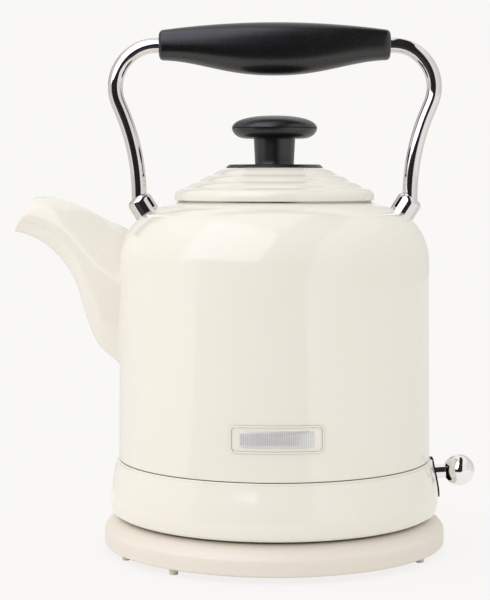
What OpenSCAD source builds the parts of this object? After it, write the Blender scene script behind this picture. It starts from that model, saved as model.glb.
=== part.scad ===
// Cordless electric kettle on a round power base: a drawn steel body with a pressed spout, an over-arching
// tube handle with a moulded grip, a lift-off lid, a rocking switch lever, and the heater and control below
// the floor. Units are millimetres, +Z is up, the spout points to -X and the switch lever to +X.
// The origin is on the body's axis, on the surface that the base stands on.

/* [Body] */
// Outside radius of the body at its lower edge
body_r = 82.8; // [76:0.1:90]
// How much the radius shrinks from the lower edge to the shoulder
body_taper = 1.2; // [0:0.1:1.5]
// Height of the straight wall, from the lower edge to the shoulder
wall_h = 104.7; // [95:0.1:115]
// Thickness of the steel sheet
sheet = 1; // [0.8:0.1:1.2]
// Radius of the shoulder's curve
shoulder_r = 30; // [28:0.5:32]
// Slope of the flatter top above the shoulder, in degrees
top_slope = 15; // [12:1:18]
// Inside radius of the mouth
mouth_r = 48.5; // [44:0.1:50]
// Depth of the lip that turns down inside the mouth
mouth_lip_h = 8; // [6:0.5:10]

/* [Skirt] */
// Height of the skirt, from the seam to its lower edge
skirt_h = 28.7; // [27:0.1:32]
// How far the skirt swells beyond the body
skirt_swell = 3.9; // [3:0.1:5]
// Open line between the body and the skirt
seam_gap = 0.4; // [0.2:0.1:0.8]

/* [Power base] */
// How far the power base reaches beyond the skirt
base_overhang = 4; // [3:0.1:6]
// Height of the top of the base's ridge
base_h = 18.2; // [17:0.1:19]
// Height of the rim's upright face, from its lower edge
base_rim_h = 7.5; // [6:0.1:7.8]
// Wall thickness of the base's cover
base_wall = 2.4; // [2:0.1:2.6]
// Height of the rim's lower edge above the table
base_clear = 3.5; // [3.2:0.1:4]
// Radius of the rubber ring that the base stands on
foot_ring_r = 68; // [60:0.5:72]
// Radius of the round tower that carries the power into the kettle
tower_r = 18.3; // [18:0.1:19]
// Radius of the hole for the power cord
cord_hole_r = 3.3; // [3:0.1:3.5]

/* [Lid] */
// How far the lid's rim reaches beyond the mouth
lid_overhang = 4.3; // [3.5:0.1:6]
// Height of the lid, from the mouth to its flat top
lid_h = 17.7; // [15:0.1:20]
// Radius of the lid's flat top
lid_top_r = 26; // [25.8:0.1:28]
// Depth of the liner that plugs the mouth
liner_h = 9.2; // [7:0.1:11]

/* [Knob] */
// Radius of the knob
knob_r = 22.7; // [20:0.1:25]
// Height of the knob's upper half, from its parting line
knob_cap_h = 6.7; // [5:0.1:8]
// Height of the knob's lower half, down to the stem
knob_saucer_h = 5.4; // [4.5:0.1:7]
// Radius of the stem at its foot
stem_r = 10.3; // [9:0.1:12]
// Height of the stem
stem_h = 13.7; // [11:0.1:15]
// Thickness of the plate below the stem
knob_plate_h = 1.8; // [1.4:0.1:2.4]

/* [Handle] */
// Diameter of the handle's tube
tube_d = 8; // [7:0.1:9]
// Angle up the shoulder's curve at which the collars stand, in degrees
collar_angle = 57.5; // [54:0.5:61]
// Radius of a collar
collar_r = 6.8; // [6:0.1:7]
// Length of a collar
collar_h = 9.6; // [9:0.1:11]
// Radius of the slow bend above each collar
lower_bend_r = 115; // [110:1:125]
// Angle that the arms lean outwards, in degrees
arm_lean = 22.5; // [20:0.5:25]
// Radius of the bend below the grip
upper_bend_r = 22; // [20:0.5:25]
// Straight tube between the upper bend and the grip
grip_gap = 1.3; // [0.5:0.1:4]
// Height of the grip's end faces, measured from the tube's axis
grip_end_r = 7.8; // [7:0.1:9]
// Rise of the grip's back above its ends
grip_crown = 4.1; // [2:0.1:6]
// Drop of the grip's belly below its ends
grip_belly = 8; // [5:0.1:10]

/* [Spout] */
// Reach of the lower lip beyond the body
spout_reach = 55; // [50:0.1:62]
// Half width of the spout where it meets the body
spout_w = 19; // [18.5:0.1:22]
// Half width of the spout at its lip
spout_lip_w = 11; // [9:0.1:13]

/* [Switch lever] */
// Radius of the ball on the lever
ball_r = 8.4; // [7:0.1:9]
// Diameter of the lever's rod
rod_d = 7.5; // [6.5:0.1:7.8]
// Distance from the lever's pivot to the centre of the ball
lever_reach = 33.1; // [30:0.1:38]
// Upward tilt of the lever at rest, in degrees
lever_tilt = 3.9; // [2:0.1:5]
// Angle that the lever rocks through, in degrees
lever_throw = 16; // [12:1:16]
// Radius of the lever's pivot pin
lever_pin_r = 1.5; // [1.2:0.1:1.8]
// Radius of the trip rocker's pivot pin
trip_pin_r = 1.25; // [1:0.05:1.5]

/* [Hidden] */

$fn = 96;
fit = 0.05;      // play around a pin, or between a piece and the hole that holds it
clear = 0.3;     // gap between pieces that move apart
eps = 0.01;      // overlap that makes a cut pass cleanly through

// Heights of the kettle standing on its base
skirt_z = base_h + 1.3;                       // lower edge of the skirt
seam_z = skirt_z + skirt_h;                   // top edge of the skirt
body_z = seam_z + seam_gap;                   // lower edge of the body
shoulder_z = body_z + wall_h;                 // start of the shoulder's curve
top_r = body_r - body_taper;                  // body radius at the shoulder
arc_r0 = top_r - shoulder_r;                  // radius of the shoulder curve's centre
arc_end = 90 - top_slope;                     // angle at which the curve meets the flatter top
neck_r = mouth_r + 2.5;                       // outer edge of the flat ring round the mouth
neck_z = shoulder_z + shoulder_r * sin(arc_end)
  + (arc_r0 + shoulder_r * cos(arc_end) - neck_r) * tan(top_slope);

skirt_in_r = body_r - 5;                      // inner edge of the skirt's flange below the body

// Floor, heater and control
seal_h = 1.8;
floor_z = seam_z + seal_h;                    // underside of the vessel's floor
floor_h = 0.8;
plate_h = 3;
plate_r = 55;
element_r = 37.8;
element_w = 6.6;
terminal_r = 1.6;
terminal_h = 6;                               // length of a terminal below the element
disc_r = 6.5;                                 // bimetal discs
disc_t = 0.7;
disc_y = 13;
element_z = floor_z - plate_h - element_w;    // lowest point of the element
hood_r = tower_r + 1;                         // inside radius of the hood round the tower
hood_wall = 3;
screw_r = 1.45;
screw_head_r = 3;
screw_head_h = 1.4;
housing_flange = 6.7;                         // how far the housing reaches beyond its hood
housing_r = hood_r + hood_wall + housing_flange;
housing_screw_r0 = hood_r + hood_wall + screw_head_r + clear;
housing_top = floor_z - plate_h - 1;
housing_h = 14;
housing_z = housing_top - housing_h;          // underside of the control's housing
hood_h = 10;
cover_z = base_h;                             // underside cover stands on the base's ridge
cover_rest = 0.9;                             // depth of the ring that it stands on
cover_h = 2;
cover_top = cover_z + cover_rest + cover_h;
cover_hole_r = hood_r + hood_wall + 1.7;
post_r0 = 66;
post_angles = [60, 180, 300];
post_r = 4;
cover_recess = 0.8;                           // depth that the cover's screw heads sit in above its ring
cover_screw_l = 11;
vent_r0 = 42;                                 // slots for air in the underside cover
vent_l = 10;
vent_w = 1.6;

// Power base
base_r = body_r + skirt_swell + base_overhang;
floor_drop = 2;                               // depth of the base's dish below its ridge
dish_z = base_h - floor_drop;
ridge_r = base_r - 9.3;                       // outer edge of the ridge's flat top
dish_r = ridge_r - 7;
tray_z = base_clear - 0.5;                    // underside of the base's bottom plate
tray_h = 2;
tray_r = base_r - base_wall - clear;
foot_angles = [-154, -126, -28, 28, 90, 152]; // feet near the rim, measured from +X
foot_r0 = base_r - 5.8;
foot_r = 2.4;
base_screw_r0 = 50;
base_screw_angles = [45, 135, 225, 315];
drain_r0 = 32;                                // small holes that let spilt water out of the base
drain_r = 1.5;
tower_top = housing_z - 1.6;
tower_slot_z = dish_z + 2.4;                  // floor of the tower's slots
live_r = 8;
neutral_r = 13;
ring_t = 0.8;
slot_w = 2.5;
earth_r = 2.4;
earth_hole_r = 3.2;
ring_drop = 9.5;                              // how far the kettle's rings hang below its housing
contact_h = housing_z - ring_drop - clear - tower_slot_z;
gland_wall = 1.1;
gland_w = 2 * cord_hole_r + 5.4;
gland_l = 6.6;
gland_flange = 1.6;                           // thickness of the flange behind the cover's wall
cord_z = base_clear + gland_wall + cord_hole_r;
gland_h = 2 * (gland_wall + cord_hole_r);
gland_y = base_r + 0.2 - gland_l;             // inner face of the gland

// Switch lever and trip rocker, in the XZ plane
lever_x = body_r - 16.8;
lever_z = seam_z - 9.5;
hub_r = 5.2;
hub_w = 9.8;
rod_start = 6;                                // inner end of the rod, from the pivot
rod_end = -2;                                 // outer end of the rod, from the ball's centre
tip_r = 1.6;
lever_tail = 9;
tail_x = lever_x - lever_tail * cos(lever_tilt);
tail_z = lever_z - lever_tail * sin(lever_tilt);
trip_tip_r = 1.4;
trip_x = element_r + element_w / 2 + 4.4;
trip_z = lever_z + 1.5;
trip_tip_z = tail_z + tip_r + clear + trip_tip_r;
trip_hub_r = 3;
trip_hub_w = 9.4;
trip_nose_x = housing_r + 4;
trip_nose_z = element_z - 3.9;
ear_t = 2;
ear_drop = 7;                                 // how far the rocker's ears hang below the housing
slot_clear = 0.4;
window_w = rod_d + 1.7;
ball_x = lever_x + lever_reach * cos(lever_tilt);
ball_z = lever_z + lever_reach * sin(lever_tilt);
plate_w = 14;
switch_top = seam_z - 0.4;
switch_bottom = switch_top - 20.6;

// Handle: the collar's foot on the shoulder, and the bends of an arm
collar_foot = [arc_r0 + shoulder_r * cos(collar_angle), shoulder_z + shoulder_r * sin(collar_angle)];
collar_gap = 0.1;
tube_in_collar = 7.6;                         // where the tube's axis crosses the collar's
arm_x = collar_foot[0] + tube_in_collar * cos(collar_angle);
arm_foot_z = collar_foot[1] + 8.9;
lean_l = 5.1;
bend_start = [
  arm_x + lower_bend_r * (1 - cos(arm_lean)),
  arm_foot_z + lower_bend_r * sin(arm_lean)
];
lean_end = bend_start + lean_l * [sin(arm_lean), cos(arm_lean)];
upper_centre = lean_end - upper_bend_r * [cos(arm_lean), -sin(arm_lean)];
grip_z = upper_centre[1] + upper_bend_r;
grip_l = upper_centre[0] - grip_gap;          // half length of the grip
stub_l = 5;                                   // straight tube inside a collar
tube_in_grip = 19;
bolt_r = 2.5;
bolt_in = 2.4;                                // how far a bolt reaches into its collar
nut_h = 4;
nut_r = 4.6;
seal_t = 1;
seal_z = -sheet - 0.45 - seal_t;              // seal's underside, below the wall's curve

// Lid
lid_z = neck_z;
lid_r = mouth_r + lid_overhang;
rim_r = lid_r - 5.8;                          // foot of the lowest ridge
rim_z = lid_z + 7.2;
lid_top_z = lid_z + lid_h;
ridges = 3;
ridge_rise = 0.5;
rim_in_r = lid_r - 1.5;                       // inside of the rim
liner_r = mouth_r - 1.1;
liner_t = 0.8;
plug_z = lid_top_z + knob_plate_h;
stem_top_r = stem_r + 0.65;
saucer_z = plug_z + stem_h;
parting_z = saucer_z + knob_saucer_h;

// Spout: control points as [distance out from the wall, height above the shoulder's start]
spout_top_z = 14.8;
spout_foot_z = -56.6;
spout_lip = [43.5, 33.5];
spout_beak = [spout_reach, 15.2];
back_curve = [[11.9, 25], [28.9, 35.5]];
belly_low = [[10.9, -51], [15.9, -36], [19.9, -21]];
belly_high = [[23.4, -4], [36.9, 12]];
spout_steps = 20;
spout_sides = 28;

// Filter behind the spout
filter_drop = 20;                             // how far the filter's middle lies below the shoulder
filter_mid_z = shoulder_z - filter_drop;
filter_half = 12.5;                           // half height of the straight part of its opening
filter_hole_r = 13;
filter_flange = 2.5;
flange_t = 1.6;
steam_r0 = body_r - 14.8;
steam_angle = 24;
steam_tube_r = 4.5;

// ---- Curves -------------------------------------------------------------------------------------

// Points on an arc, from angle a0 to a1 round c
function arc(c, r, a0, a1, n = 12) =
  [for (i = [0:n]) let (a = a0 + (a1 - a0) * i / n) c + r * [cos(a), sin(a)]];

// A point at t on a cubic curve with four control points
function cubic(p, t) =
  pow(1 - t, 3) * p[0] + 3 * pow(1 - t, 2) * t * p[1] + 3 * (1 - t) * t * t * p[2] + pow(t, 3) * p[3];
function curve(p, n = 10) = [for (i = [0:n]) cubic(p, i / n)];
function flip(list) = [for (i = [len(list) - 1:-1:0]) list[i]];

// A solid of revolution from an outline of [radius, height] points
module revolve(outline) {
  rotate_extrude() polygon(outline);
}

module ring(r_in, r_out, z, h) {
  translate([0, 0, z]) difference() {
    cylinder(r = r_out, h = h);
    translate([0, 0, -1]) cylinder(r = r_in, h = h + 2);
  }
}

module at_angles(r, angles) {
  for (a = angles) rotate([0, 0, a]) translate([r, 0, 0]) children();
}

// A cylinder along Y, centred on the XZ plane
module cross_pin(x, z, r, w) {
  translate([x, 0, z]) rotate([90, 0, 0]) cylinder(r = r, h = w, center = true);
}

// Surface through rings of points, closed round each ring; joined end to end when looped
module skin(rings, looped = false) {
  n = len(rings[0]);
  m = len(rings);
  side = [for (j = [0:(looped ? m - 1 : m - 2)], i = [0:n - 1]) let (k = (i + 1) % n, l = (j + 1) % m)
    each [[j * n + i, l * n + i, l * n + k], [j * n + i, l * n + k, j * n + k]]];
  caps = looped ? [] : [[for (i = [0:n - 1]) i], [for (i = [n - 1:-1:0]) (m - 1) * n + i]];
  polyhedron([for (r = rings) each r], concat(side, caps));
}

// ---- Power base ---------------------------------------------------------------------------------

module base_cover() color("linen") difference() {
  rim_top = base_clear + base_rim_h;
  bevel = [[base_r, rim_top], [base_r - 0.1, rim_top + 1.6], [base_r - 4.8, base_h - 0.7], [ridge_r, base_h]];
  inside = [for (p = curve(bevel)) [p[0] - base_wall, p[1] - base_wall * 0.7]];
  revolve(concat(
    [[base_r - 0.8, base_clear], [base_r, base_clear + 0.8]],
    curve(bevel),
    [[dish_r + 0.6, base_h], [dish_r, dish_z], [tower_r + 6.2, dish_z], [tower_r + 6.2, dish_z - base_wall]],
    [[dish_r - 1, dish_z - base_wall], [ridge_r - base_wall, base_h - base_wall]],
    flip(inside),
    [[base_r - base_wall, base_clear]]
  ));
  gland_cut();
}

// Notch in the rim and in the bottom plate that holds the cord's gland
module gland_cut() {
  gap = clear / 2;
  translate([-gland_w / 2 - gap, gland_y - gap, base_clear - 2])
    cube([gland_w + 2 * gap, gland_l + 2, gland_h + gap + 2]);
}

module cord_gland() color("dimgray") difference() {
  union() {
    translate([-gland_w / 2, gland_y, base_clear]) cube([gland_w, gland_l, gland_h]);
    translate([-gland_w / 2 - gland_flange, gland_y, tray_z + tray_h + fit])
      cube([gland_w + 2 * gland_flange, gland_flange, base_clear + gland_h - 0.7 - tray_z - tray_h]);
  }
  translate([0, base_r + 2, cord_z]) rotate([90, 0, 0]) cylinder(r = cord_hole_r, h = gland_l + 4);
}

module base_underside() color("dimgray") difference() {
  union() {
    translate([0, 0, tray_z]) cylinder(r = tray_r, h = tray_h);
    ring(tower_r + 7.7, tower_r + 10.7, tray_z + tray_h - eps, dish_z - base_wall - 3 - tray_z - tray_h + eps);
    at_angles(base_screw_r0, base_screw_angles)
      translate([0, 0, tray_z + tray_h - eps]) difference() {
        cylinder(r = post_r, h = dish_z - base_wall - tray_z - tray_h + eps);
        translate([0, 0, -1]) cylinder(r = screw_r + fit, h = 20);
      }
  }
  gland_cut();
  ring(foot_ring_r - 3 - fit, foot_ring_r + 3 + fit, tray_z - 1, 1.8);
  at_angles(base_screw_r0, base_screw_angles) translate([0, 0, tray_z - 1]) {
    cylinder(r = screw_r + fit, h = tray_h + 2);
    cylinder(r = screw_head_r + clear, h = 1 + screw_head_h);
  }
  at_angles(drain_r0, [for (i = [0:7]) 22.5 + 45 * i])
    translate([0, 0, tray_z - 1]) cylinder(r = drain_r, h = tray_h + 2);
}

module base_foot_ring() color("gray")
  ring(foot_ring_r - 3, foot_ring_r + 3, 0, tray_z + 0.8);

module base_rim_feet() color("linen")
  at_angles(foot_r0, foot_angles) cylinder(r1 = foot_r - 0.3, r2 = foot_r, h = tray_z);

module screw(z, length, down = 1) {
  translate([0, 0, z]) cylinder(r = screw_r, h = length);
  translate([0, 0, z - (down > 0 ? screw_head_h : -length)]) cylinder(r = screw_head_r, h = screw_head_h);
}

module base_screws() color("silver")
  at_angles(base_screw_r0, base_screw_angles)
    screw(tray_z + screw_head_h, dish_z - base_wall - tray_z - screw_head_h - 0.5);

module base_socket() color("black") difference() {
  union() {
    translate([0, 0, dish_z - base_wall - 3]) cylinder(r = tower_r + 11.7, h = 3);
    translate([0, 0, dish_z - base_wall - eps]) cylinder(r = tower_r + 5.9, h = base_wall + 1);
    translate([0, 0, dish_z]) cylinder(r = tower_r, h = tower_top - dish_z);
  }
  for (r = [live_r, neutral_r])
    ring(r - slot_w / 2, r + slot_w / 2, tower_slot_z, tower_top);
  translate([0, 0, tower_slot_z]) cylinder(r = earth_hole_r, h = tower_top);
}

module base_contact(r) ring(r - slot_w / 2 + fit, r + slot_w / 2 - fit, tower_slot_z, contact_h);
module base_live_contact() color("goldenrod") base_contact(live_r);
module base_neutral_contact() color("goldenrod") base_contact(neutral_r);
module base_earth_contact() color("goldenrod")
  ring(earth_r + clear, earth_hole_r - fit, tower_slot_z, tower_top - tower_slot_z - 2);

// ---- Body and spout -----------------------------------------------------------------------------

// Outside radius of the body at height z
function body_at(z) = z <= shoulder_z
  ? body_r - body_taper * (z - body_z) / wall_h
  : arc_r0 + sqrt(max(0, pow(shoulder_r, 2) - pow(z - shoulder_z, 2)));

module body_shell() color("ivory") difference() {
  neck_in = mouth_r + sheet;
  under = neck_z - sheet;
  inner_r = shoulder_r - sheet;
  revolve(concat(
    [[body_r, body_z]],
    arc([arc_r0, shoulder_z], shoulder_r, 0, arc_end),
    [[neck_r, neck_z], [mouth_r, neck_z], [mouth_r, neck_z - mouth_lip_h], [neck_in, neck_z - mouth_lip_h]],
    [[neck_in, under], [neck_r - 0.1, under]],
    flip(arc([arc_r0, shoulder_z], inner_r, 0, arc_end)),
    [[body_r - sheet, body_z]]
  ));
  for (side = [-1, 1]) on_collar(side) translate([0, 0, -5]) cylinder(r = bolt_r + clear, h = 8);
  filter_opening(filter_hole_r);
}

// Opening with round ends through the wall behind the spout
module filter_opening(r) {
  for (z = [-filter_half, filter_half])
    translate([-body_r - 1, 0, filter_mid_z + z]) rotate([0, 90, 0]) cylinder(r = r, h = 12);
  translate([-body_r - 1, -r, filter_mid_z - filter_half]) cube([12, 2 * r, 2 * filter_half]);
}

function spout_point(p) = [-body_r - p[0], shoulder_z + p[1]];
function back_points() = [
  [-body_at(shoulder_z + spout_top_z), shoulder_z + spout_top_z],
  spout_point(back_curve[0]), spout_point(back_curve[1]), spout_point(spout_lip)
];
function belly_points(high) = high
  ? [spout_point(belly_low[2]), spout_point(belly_high[0]), spout_point(belly_high[1]), spout_point(spout_beak)]
  : [[-body_at(shoulder_z + spout_foot_z), shoulder_z + spout_foot_z],
     spout_point(belly_low[0]), spout_point(belly_low[1]), spout_point(belly_low[2])];
function belly(t) = t < 0.5 ? cubic(belly_points(false), 2 * t) : cubic(belly_points(true), 2 * t - 1);

// One oval section of the spout at t, drawn inwards by the wall thickness when inset is above 0
function spout_ring(t, inset) = let (
    up = cubic(back_points(), t),
    low = belly(t),
    mid = (up + low) / 2,
    half = (up - low) / 2,
    h = norm(half) - inset,
    w = spout_w + (spout_lip_w - spout_w) * t - inset,
    dir = half / norm(half)
  )
  [for (i = [0:spout_sides - 1]) let (
      a = 360 * i / spout_sides,
      y = w * cos(a),
      p = mid + dir * h * sin(a),
      x = t > 0 ? p[0] : -sqrt(pow(body_at(p[1]) + 0.1, 2) - y * y)
    ) [x, y, p[1]]];

module spout() color("ivory") {
  outer = [for (i = [0:spout_steps]) spout_ring(i / spout_steps, 0)];
  inner = [for (i = [spout_steps:-1:0]) spout_ring(i / spout_steps, sheet)];
  skin(concat(outer, inner), looped = true);
}

// ---- Floor, heater and control ------------------------------------------------------------------

function wall_in(z) = body_at(z) - sheet - fit;

module vessel_floor() color("silver") difference() {
  translate([0, 0, floor_z]) cylinder(r = wall_in(floor_z), h = floor_h);
  steam_place() translate([0, 0, floor_z - 1]) cylinder(r = steam_tube_r + 2, h = 3);
}

module floor_seal() color("gray")
  ring(wall_in(floor_z) - 4, wall_in(floor_z) - fit, seam_z, seal_h);

module floor_posts() color("silver")
  at_angles(post_r0, post_angles) translate([0, 0, cover_top]) difference() {
    cylinder(r = post_r, h = floor_z - cover_top);
    translate([0, 0, -1]) cylinder(r = screw_r + fit, h = cover_screw_l + 2);
  }

module heat_plate() color("lightgray") difference() {
  translate([0, 0, floor_z - plate_h]) cylinder(r = plate_r, h = plate_h);
  control_screw_places() translate([0, 0, floor_z - plate_h - 1]) cylinder(r = screw_r + fit, h = 3);
}

// Sheathed ring with a flat top and a round underside, and its two terminals
module heating_element() color("slategray") {
  rotate([0, 0, -165]) rotate_extrude(angle = 330) translate([element_r, element_z]) {
    translate([0, element_w / 2]) circle(d = element_w, $fn = 32);
    translate([-element_w / 2, element_w / 2]) square([element_w, element_w / 2]);
  }
  for (a = [-160, 160]) rotate([0, 0, a])
    translate([element_r, 0, element_z - terminal_h]) cylinder(r = terminal_r, h = terminal_h + 1);
}

module bimetal_discs() color("peru")
  for (y = [-disc_y, disc_y]) translate([0, y, housing_top + 0.1]) cylinder(r = disc_r, h = disc_t);

module control_screw_places() at_angles(housing_screw_r0, [90, 210, 330]) children();

module trip_ears() {
  for (side = [-1, 1])
    translate([0, side * (trip_hub_w / 2 + clear + ear_t / 2), 0]) rotate([90, 0, 0])
      linear_extrude(ear_t, center = true) polygon([
        [hood_r + 1, housing_z - ear_drop], [trip_nose_x + 4.5, housing_z - ear_drop], [trip_x + 3.5, housing_z + 1],
        [trip_x + 3.5, trip_z + 3.2], [trip_x - 3.2, trip_z + 3.2], [trip_x - 3.2, element_z - 0.8],
        [housing_r - 2, element_z - 0.8]
      ]);
}

module control_housing() color("black") difference() {
  union() {
    translate([0, 0, housing_z]) cylinder(r = housing_r, h = housing_h);
    ring(hood_r, hood_r + hood_wall, housing_z - hood_h, hood_h + 1);
    trip_ears();
    translate([hood_r + 1, -trip_hub_w / 2 - clear - 1, housing_z - ear_drop])
      cube([trip_nose_x + 3 - hood_r - 1, trip_hub_w + 2 * clear + 2, 2]);
  }
  control_screw_places() translate([0, 0, housing_z - 1]) cylinder(r = screw_r + fit, h = housing_h + 2);
  cross_pin(trip_x, trip_z, trip_pin_r + fit / 2, 3 * trip_hub_w);
  translate([0, 0, housing_z - hood_h - 1]) cylinder(r = hood_r, h = hood_h + 1);
}

module control_screws() color("silver")
  control_screw_places() screw(housing_z, housing_h + 2.5);

module kettle_ring(r) color("goldenrod") ring(r - ring_t / 2, r + ring_t / 2, housing_z - ring_drop, ring_drop);
module kettle_live_ring() kettle_ring(live_r);
module kettle_neutral_ring() kettle_ring(neutral_r);
module kettle_earth_pin() color("goldenrod") translate([0, 0, housing_z - ring_drop - 1])
  cylinder(r = earth_r, h = ring_drop + 1);

module trip_pin() color("silver") cross_pin(trip_x, trip_z, trip_pin_r, trip_hub_w + 2 * clear + 2 * ear_t);

// Coil spring below the rocker's nose
module trip_spring() color("silver") {
  turns = 5;
  coil_r = 2.3;
  wire_r = 0.35;
  low = housing_z - 5 + wire_r + 0.02;
  high = trip_nose_z - 1.2 - wire_r - 0.1;
  steps = 12 * turns;
  skin([for (s = [0:steps]) let (a = 360 * turns * s / steps, z = low + (high - low) * s / steps)
    [for (i = [0:5]) let (b = 60 * i)
      [trip_nose_x + (coil_r + wire_r * cos(b)) * cos(a), (coil_r + wire_r * cos(b)) * sin(a),
       z + wire_r * sin(b)]]]);
}

// Rocker that carries the lever's movement to the control
module trip_rocker() color("ivory") difference() {
  union() {
    cross_pin(trip_x, trip_z, trip_hub_r, trip_hub_w);
    trip_arm([trip_x, trip_z], [tail_x, trip_tip_z], trip_tip_r, 5);
    trip_arm([trip_x, trip_z - 1.2], [trip_nose_x, trip_nose_z], 1.2, 6);
  }
  cross_pin(trip_x, trip_z, trip_pin_r + fit, trip_hub_w + 2);
}

// Flat bar that ends in a round bead, from p to q in the XZ plane
module trip_arm(p, q, r, w) {
  a = atan2(q[1] - p[1], q[0] - p[0]);
  bar = 1.7 * r;
  translate([p[0], 0, p[1]]) rotate([0, -a, 0]) translate([0, -w / 2 + 0.2, -bar / 2])
    cube([norm(q - p), w - 0.4, bar]);
  cross_pin(q[0], q[1], r, w);
}

// ---- Switch lever -------------------------------------------------------------------------------

// Places children along the lever: +X runs outwards along its rod
module on_lever() translate([lever_x, 0, lever_z]) rotate([0, -lever_tilt, 0]) children();

module lever_hub() color("black") difference() {
  union() {
    cross_pin(lever_x, lever_z, hub_r, hub_w);
    on_lever() rotate([0, 90, 0]) cylinder(r = hub_r - 0.3, h = 12);
    trip_arm([lever_x, lever_z], [tail_x, tail_z], tip_r, 6);
  }
  on_lever() translate([rod_start - fit, 0, 0]) rotate([0, 90, 0]) cylinder(d = rod_d + 2 * fit, h = 8);
  cross_pin(lever_x, lever_z, lever_pin_r + fit, hub_w + 2);
}

module lever_rod() color("silver")
  on_lever() translate([rod_start, 0, 0]) rotate([0, 90, 0]) cylinder(d = rod_d, h = lever_reach - rod_start + rod_end - fit);

// Ball turned round the rod's axis, with the rod's bore in its inner side
module lever_ball() color("silver") {
  bore = rod_d / 2 + fit;
  low = asin(bore / ball_r) - 90;
  on_lever() translate([lever_reach, 0, 0]) rotate([0, 90, 0]) revolve(concat(
    arc([0, 0], ball_r, low, 90, 20),
    [[0, rod_end], [bore, rod_end]]
  ));
}

module lever_pin() color("silver")
  cross_pin(lever_x, lever_z, lever_pin_r, hub_w + 2 * clear + 2 * ear_t);

module lever_bracket() color("black") difference() {
  union() {
    translate([lever_x - 8, -hub_w / 2 - 4, cover_top]) cube([16, hub_w + 8, 1.6]);
    for (side = [-1, 1])
      translate([lever_x, side * (hub_w / 2 + clear + ear_t / 2), 0]) rotate([90, 0, 0])
        linear_extrude(ear_t, center = true)
          polygon([[-6, cover_top + 1], [6, cover_top + 1], [4.5, lever_z + 4], [-4.5, lever_z + 4]]);
  }
  cross_pin(lever_x, lever_z, lever_pin_r + fit / 2, 3 * hub_w);
}

// Outline of the skirt's outside, as [radius, height] points from the seam down
function skirt_side(inset) = let (top = body_r + 0.5 - inset, full = body_r + skirt_swell - inset)
  concat(
    curve([[top, seam_z], [top + 0.1, seam_z - 7.2], [full, seam_z - 11.2], [full, seam_z - 20.2]], 14),
    curve([[full, seam_z - 20.2], [full, seam_z - 24.2], [full - 0.8, skirt_z + 0.7], [full - 2.8, skirt_z]], 10)
  );

module skirt() color("ivory") difference() {
  revolve(concat(
    skirt_side(0),
    [[body_r - 0.7, skirt_z], [body_r - 0.7, skirt_z + sheet]],
    flip([for (p = skirt_side(sheet)) if (p[1] < seam_z - sheet && p[1] > skirt_z + sheet) p]),
    [[body_r + 0.5 - sheet, seam_z - sheet], [skirt_in_r, seam_z - sheet], [skirt_in_r, seam_z]]
  ));
  lever_window(window_w, 0.9);
}

// Space that the lever's rod sweeps through the wall, from its rest to its lower end
module lever_window(w, more) {
  x = body_r + 6;
  low = lever_z + (x - lever_x) * tan(lever_tilt - lever_throw) - rod_d / 2 - more;
  high = lever_z + (x - lever_x) * tan(lever_tilt) + rod_d / 2 + more;
  translate([skirt_in_r, -w / 2, low]) cube([16, w, high - low]);
}

// Black plate with a slot for the rod, its back shaped to the skirt
module switch_plate() color("black") difference() {
  lean = atan2(2.7, 14);
  translate([body_r + 4.2, 0, (switch_top + switch_bottom) / 2]) rotate([0, -lean, 0])
    translate([-5, 0, 0]) rotate([0, 90, 0]) linear_extrude(5) hull()
      for (x = [-1, 1], y = [-1, 1])
        translate([x * ((switch_top - switch_bottom) / 2 - 4), y * (plate_w / 2 - 4)]) circle(r = 4, $fn = 32);
  rotate_extrude($fn = 360) polygon(concat([[0, seam_z], [0, skirt_z]], flip(skirt_side(-fit))));
  translate([body_r - plate_w, -plate_w, seam_z - eps]) cube([2 * plate_w, 2 * plate_w, 10]);
  lever_window(rod_d + 2 * slot_clear, 0.3);
}

// ---- Steam tube, underside and screws -----------------------------------------------------------

module steam_place() rotate([0, 0, steam_angle]) translate([steam_r0, 0, 0]) children();

module steam_tube() color("silver")
  steam_place() ring(steam_tube_r - 0.6, steam_tube_r, floor_z - 8, shoulder_z + 8 - floor_z);

module steam_tube_seal() color("gray") steam_place() difference() {
  union() {
    translate([0, 0, floor_z - 1.2]) cylinder(r = steam_tube_r + 3.2, h = 1.2);
    translate([0, 0, floor_z - 1.2]) cylinder(r = steam_tube_r + 2 - fit, h = floor_h + 1.4);
  }
  translate([0, 0, floor_z - 3]) cylinder(r = steam_tube_r + fit, h = 6);
}

module underside_cover() color("dimgray") difference() {
  union() {
    translate([0, 0, cover_z + cover_rest]) cylinder(r = body_r - 1, h = cover_h);
    ring(ridge_r - 6.5, ridge_r - 1.5, cover_z, cover_rest + eps);
  }
  translate([0, 0, cover_z]) cylinder(r = cover_hole_r, h = cover_h + 3);
  at_angles(post_r0, post_angles) translate([0, 0, cover_z]) {
    cylinder(r = screw_r + fit, h = cover_h + 3);
    cylinder(r = screw_head_r + clear, h = cover_rest + cover_recess);
  }
  at_angles(vent_r0, [for (i = [0:11]) 30 * i])
    translate([-vent_l / 2, -vent_w / 2, cover_z]) cube([vent_l, vent_w, cover_h + 3]);
}

module underside_screws() color("silver")
  at_angles(post_r0, post_angles) screw(cover_z + cover_rest + cover_recess, cover_screw_l);

// ---- Handle -------------------------------------------------------------------------------------

// Places children on a collar's axis: +Z runs out of the shoulder, side -1 is the spout's side
module on_collar(side)
  translate([side * collar_foot[0], 0, collar_foot[1]]) rotate([0, side * (90 - collar_angle), 0]) children();

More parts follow.
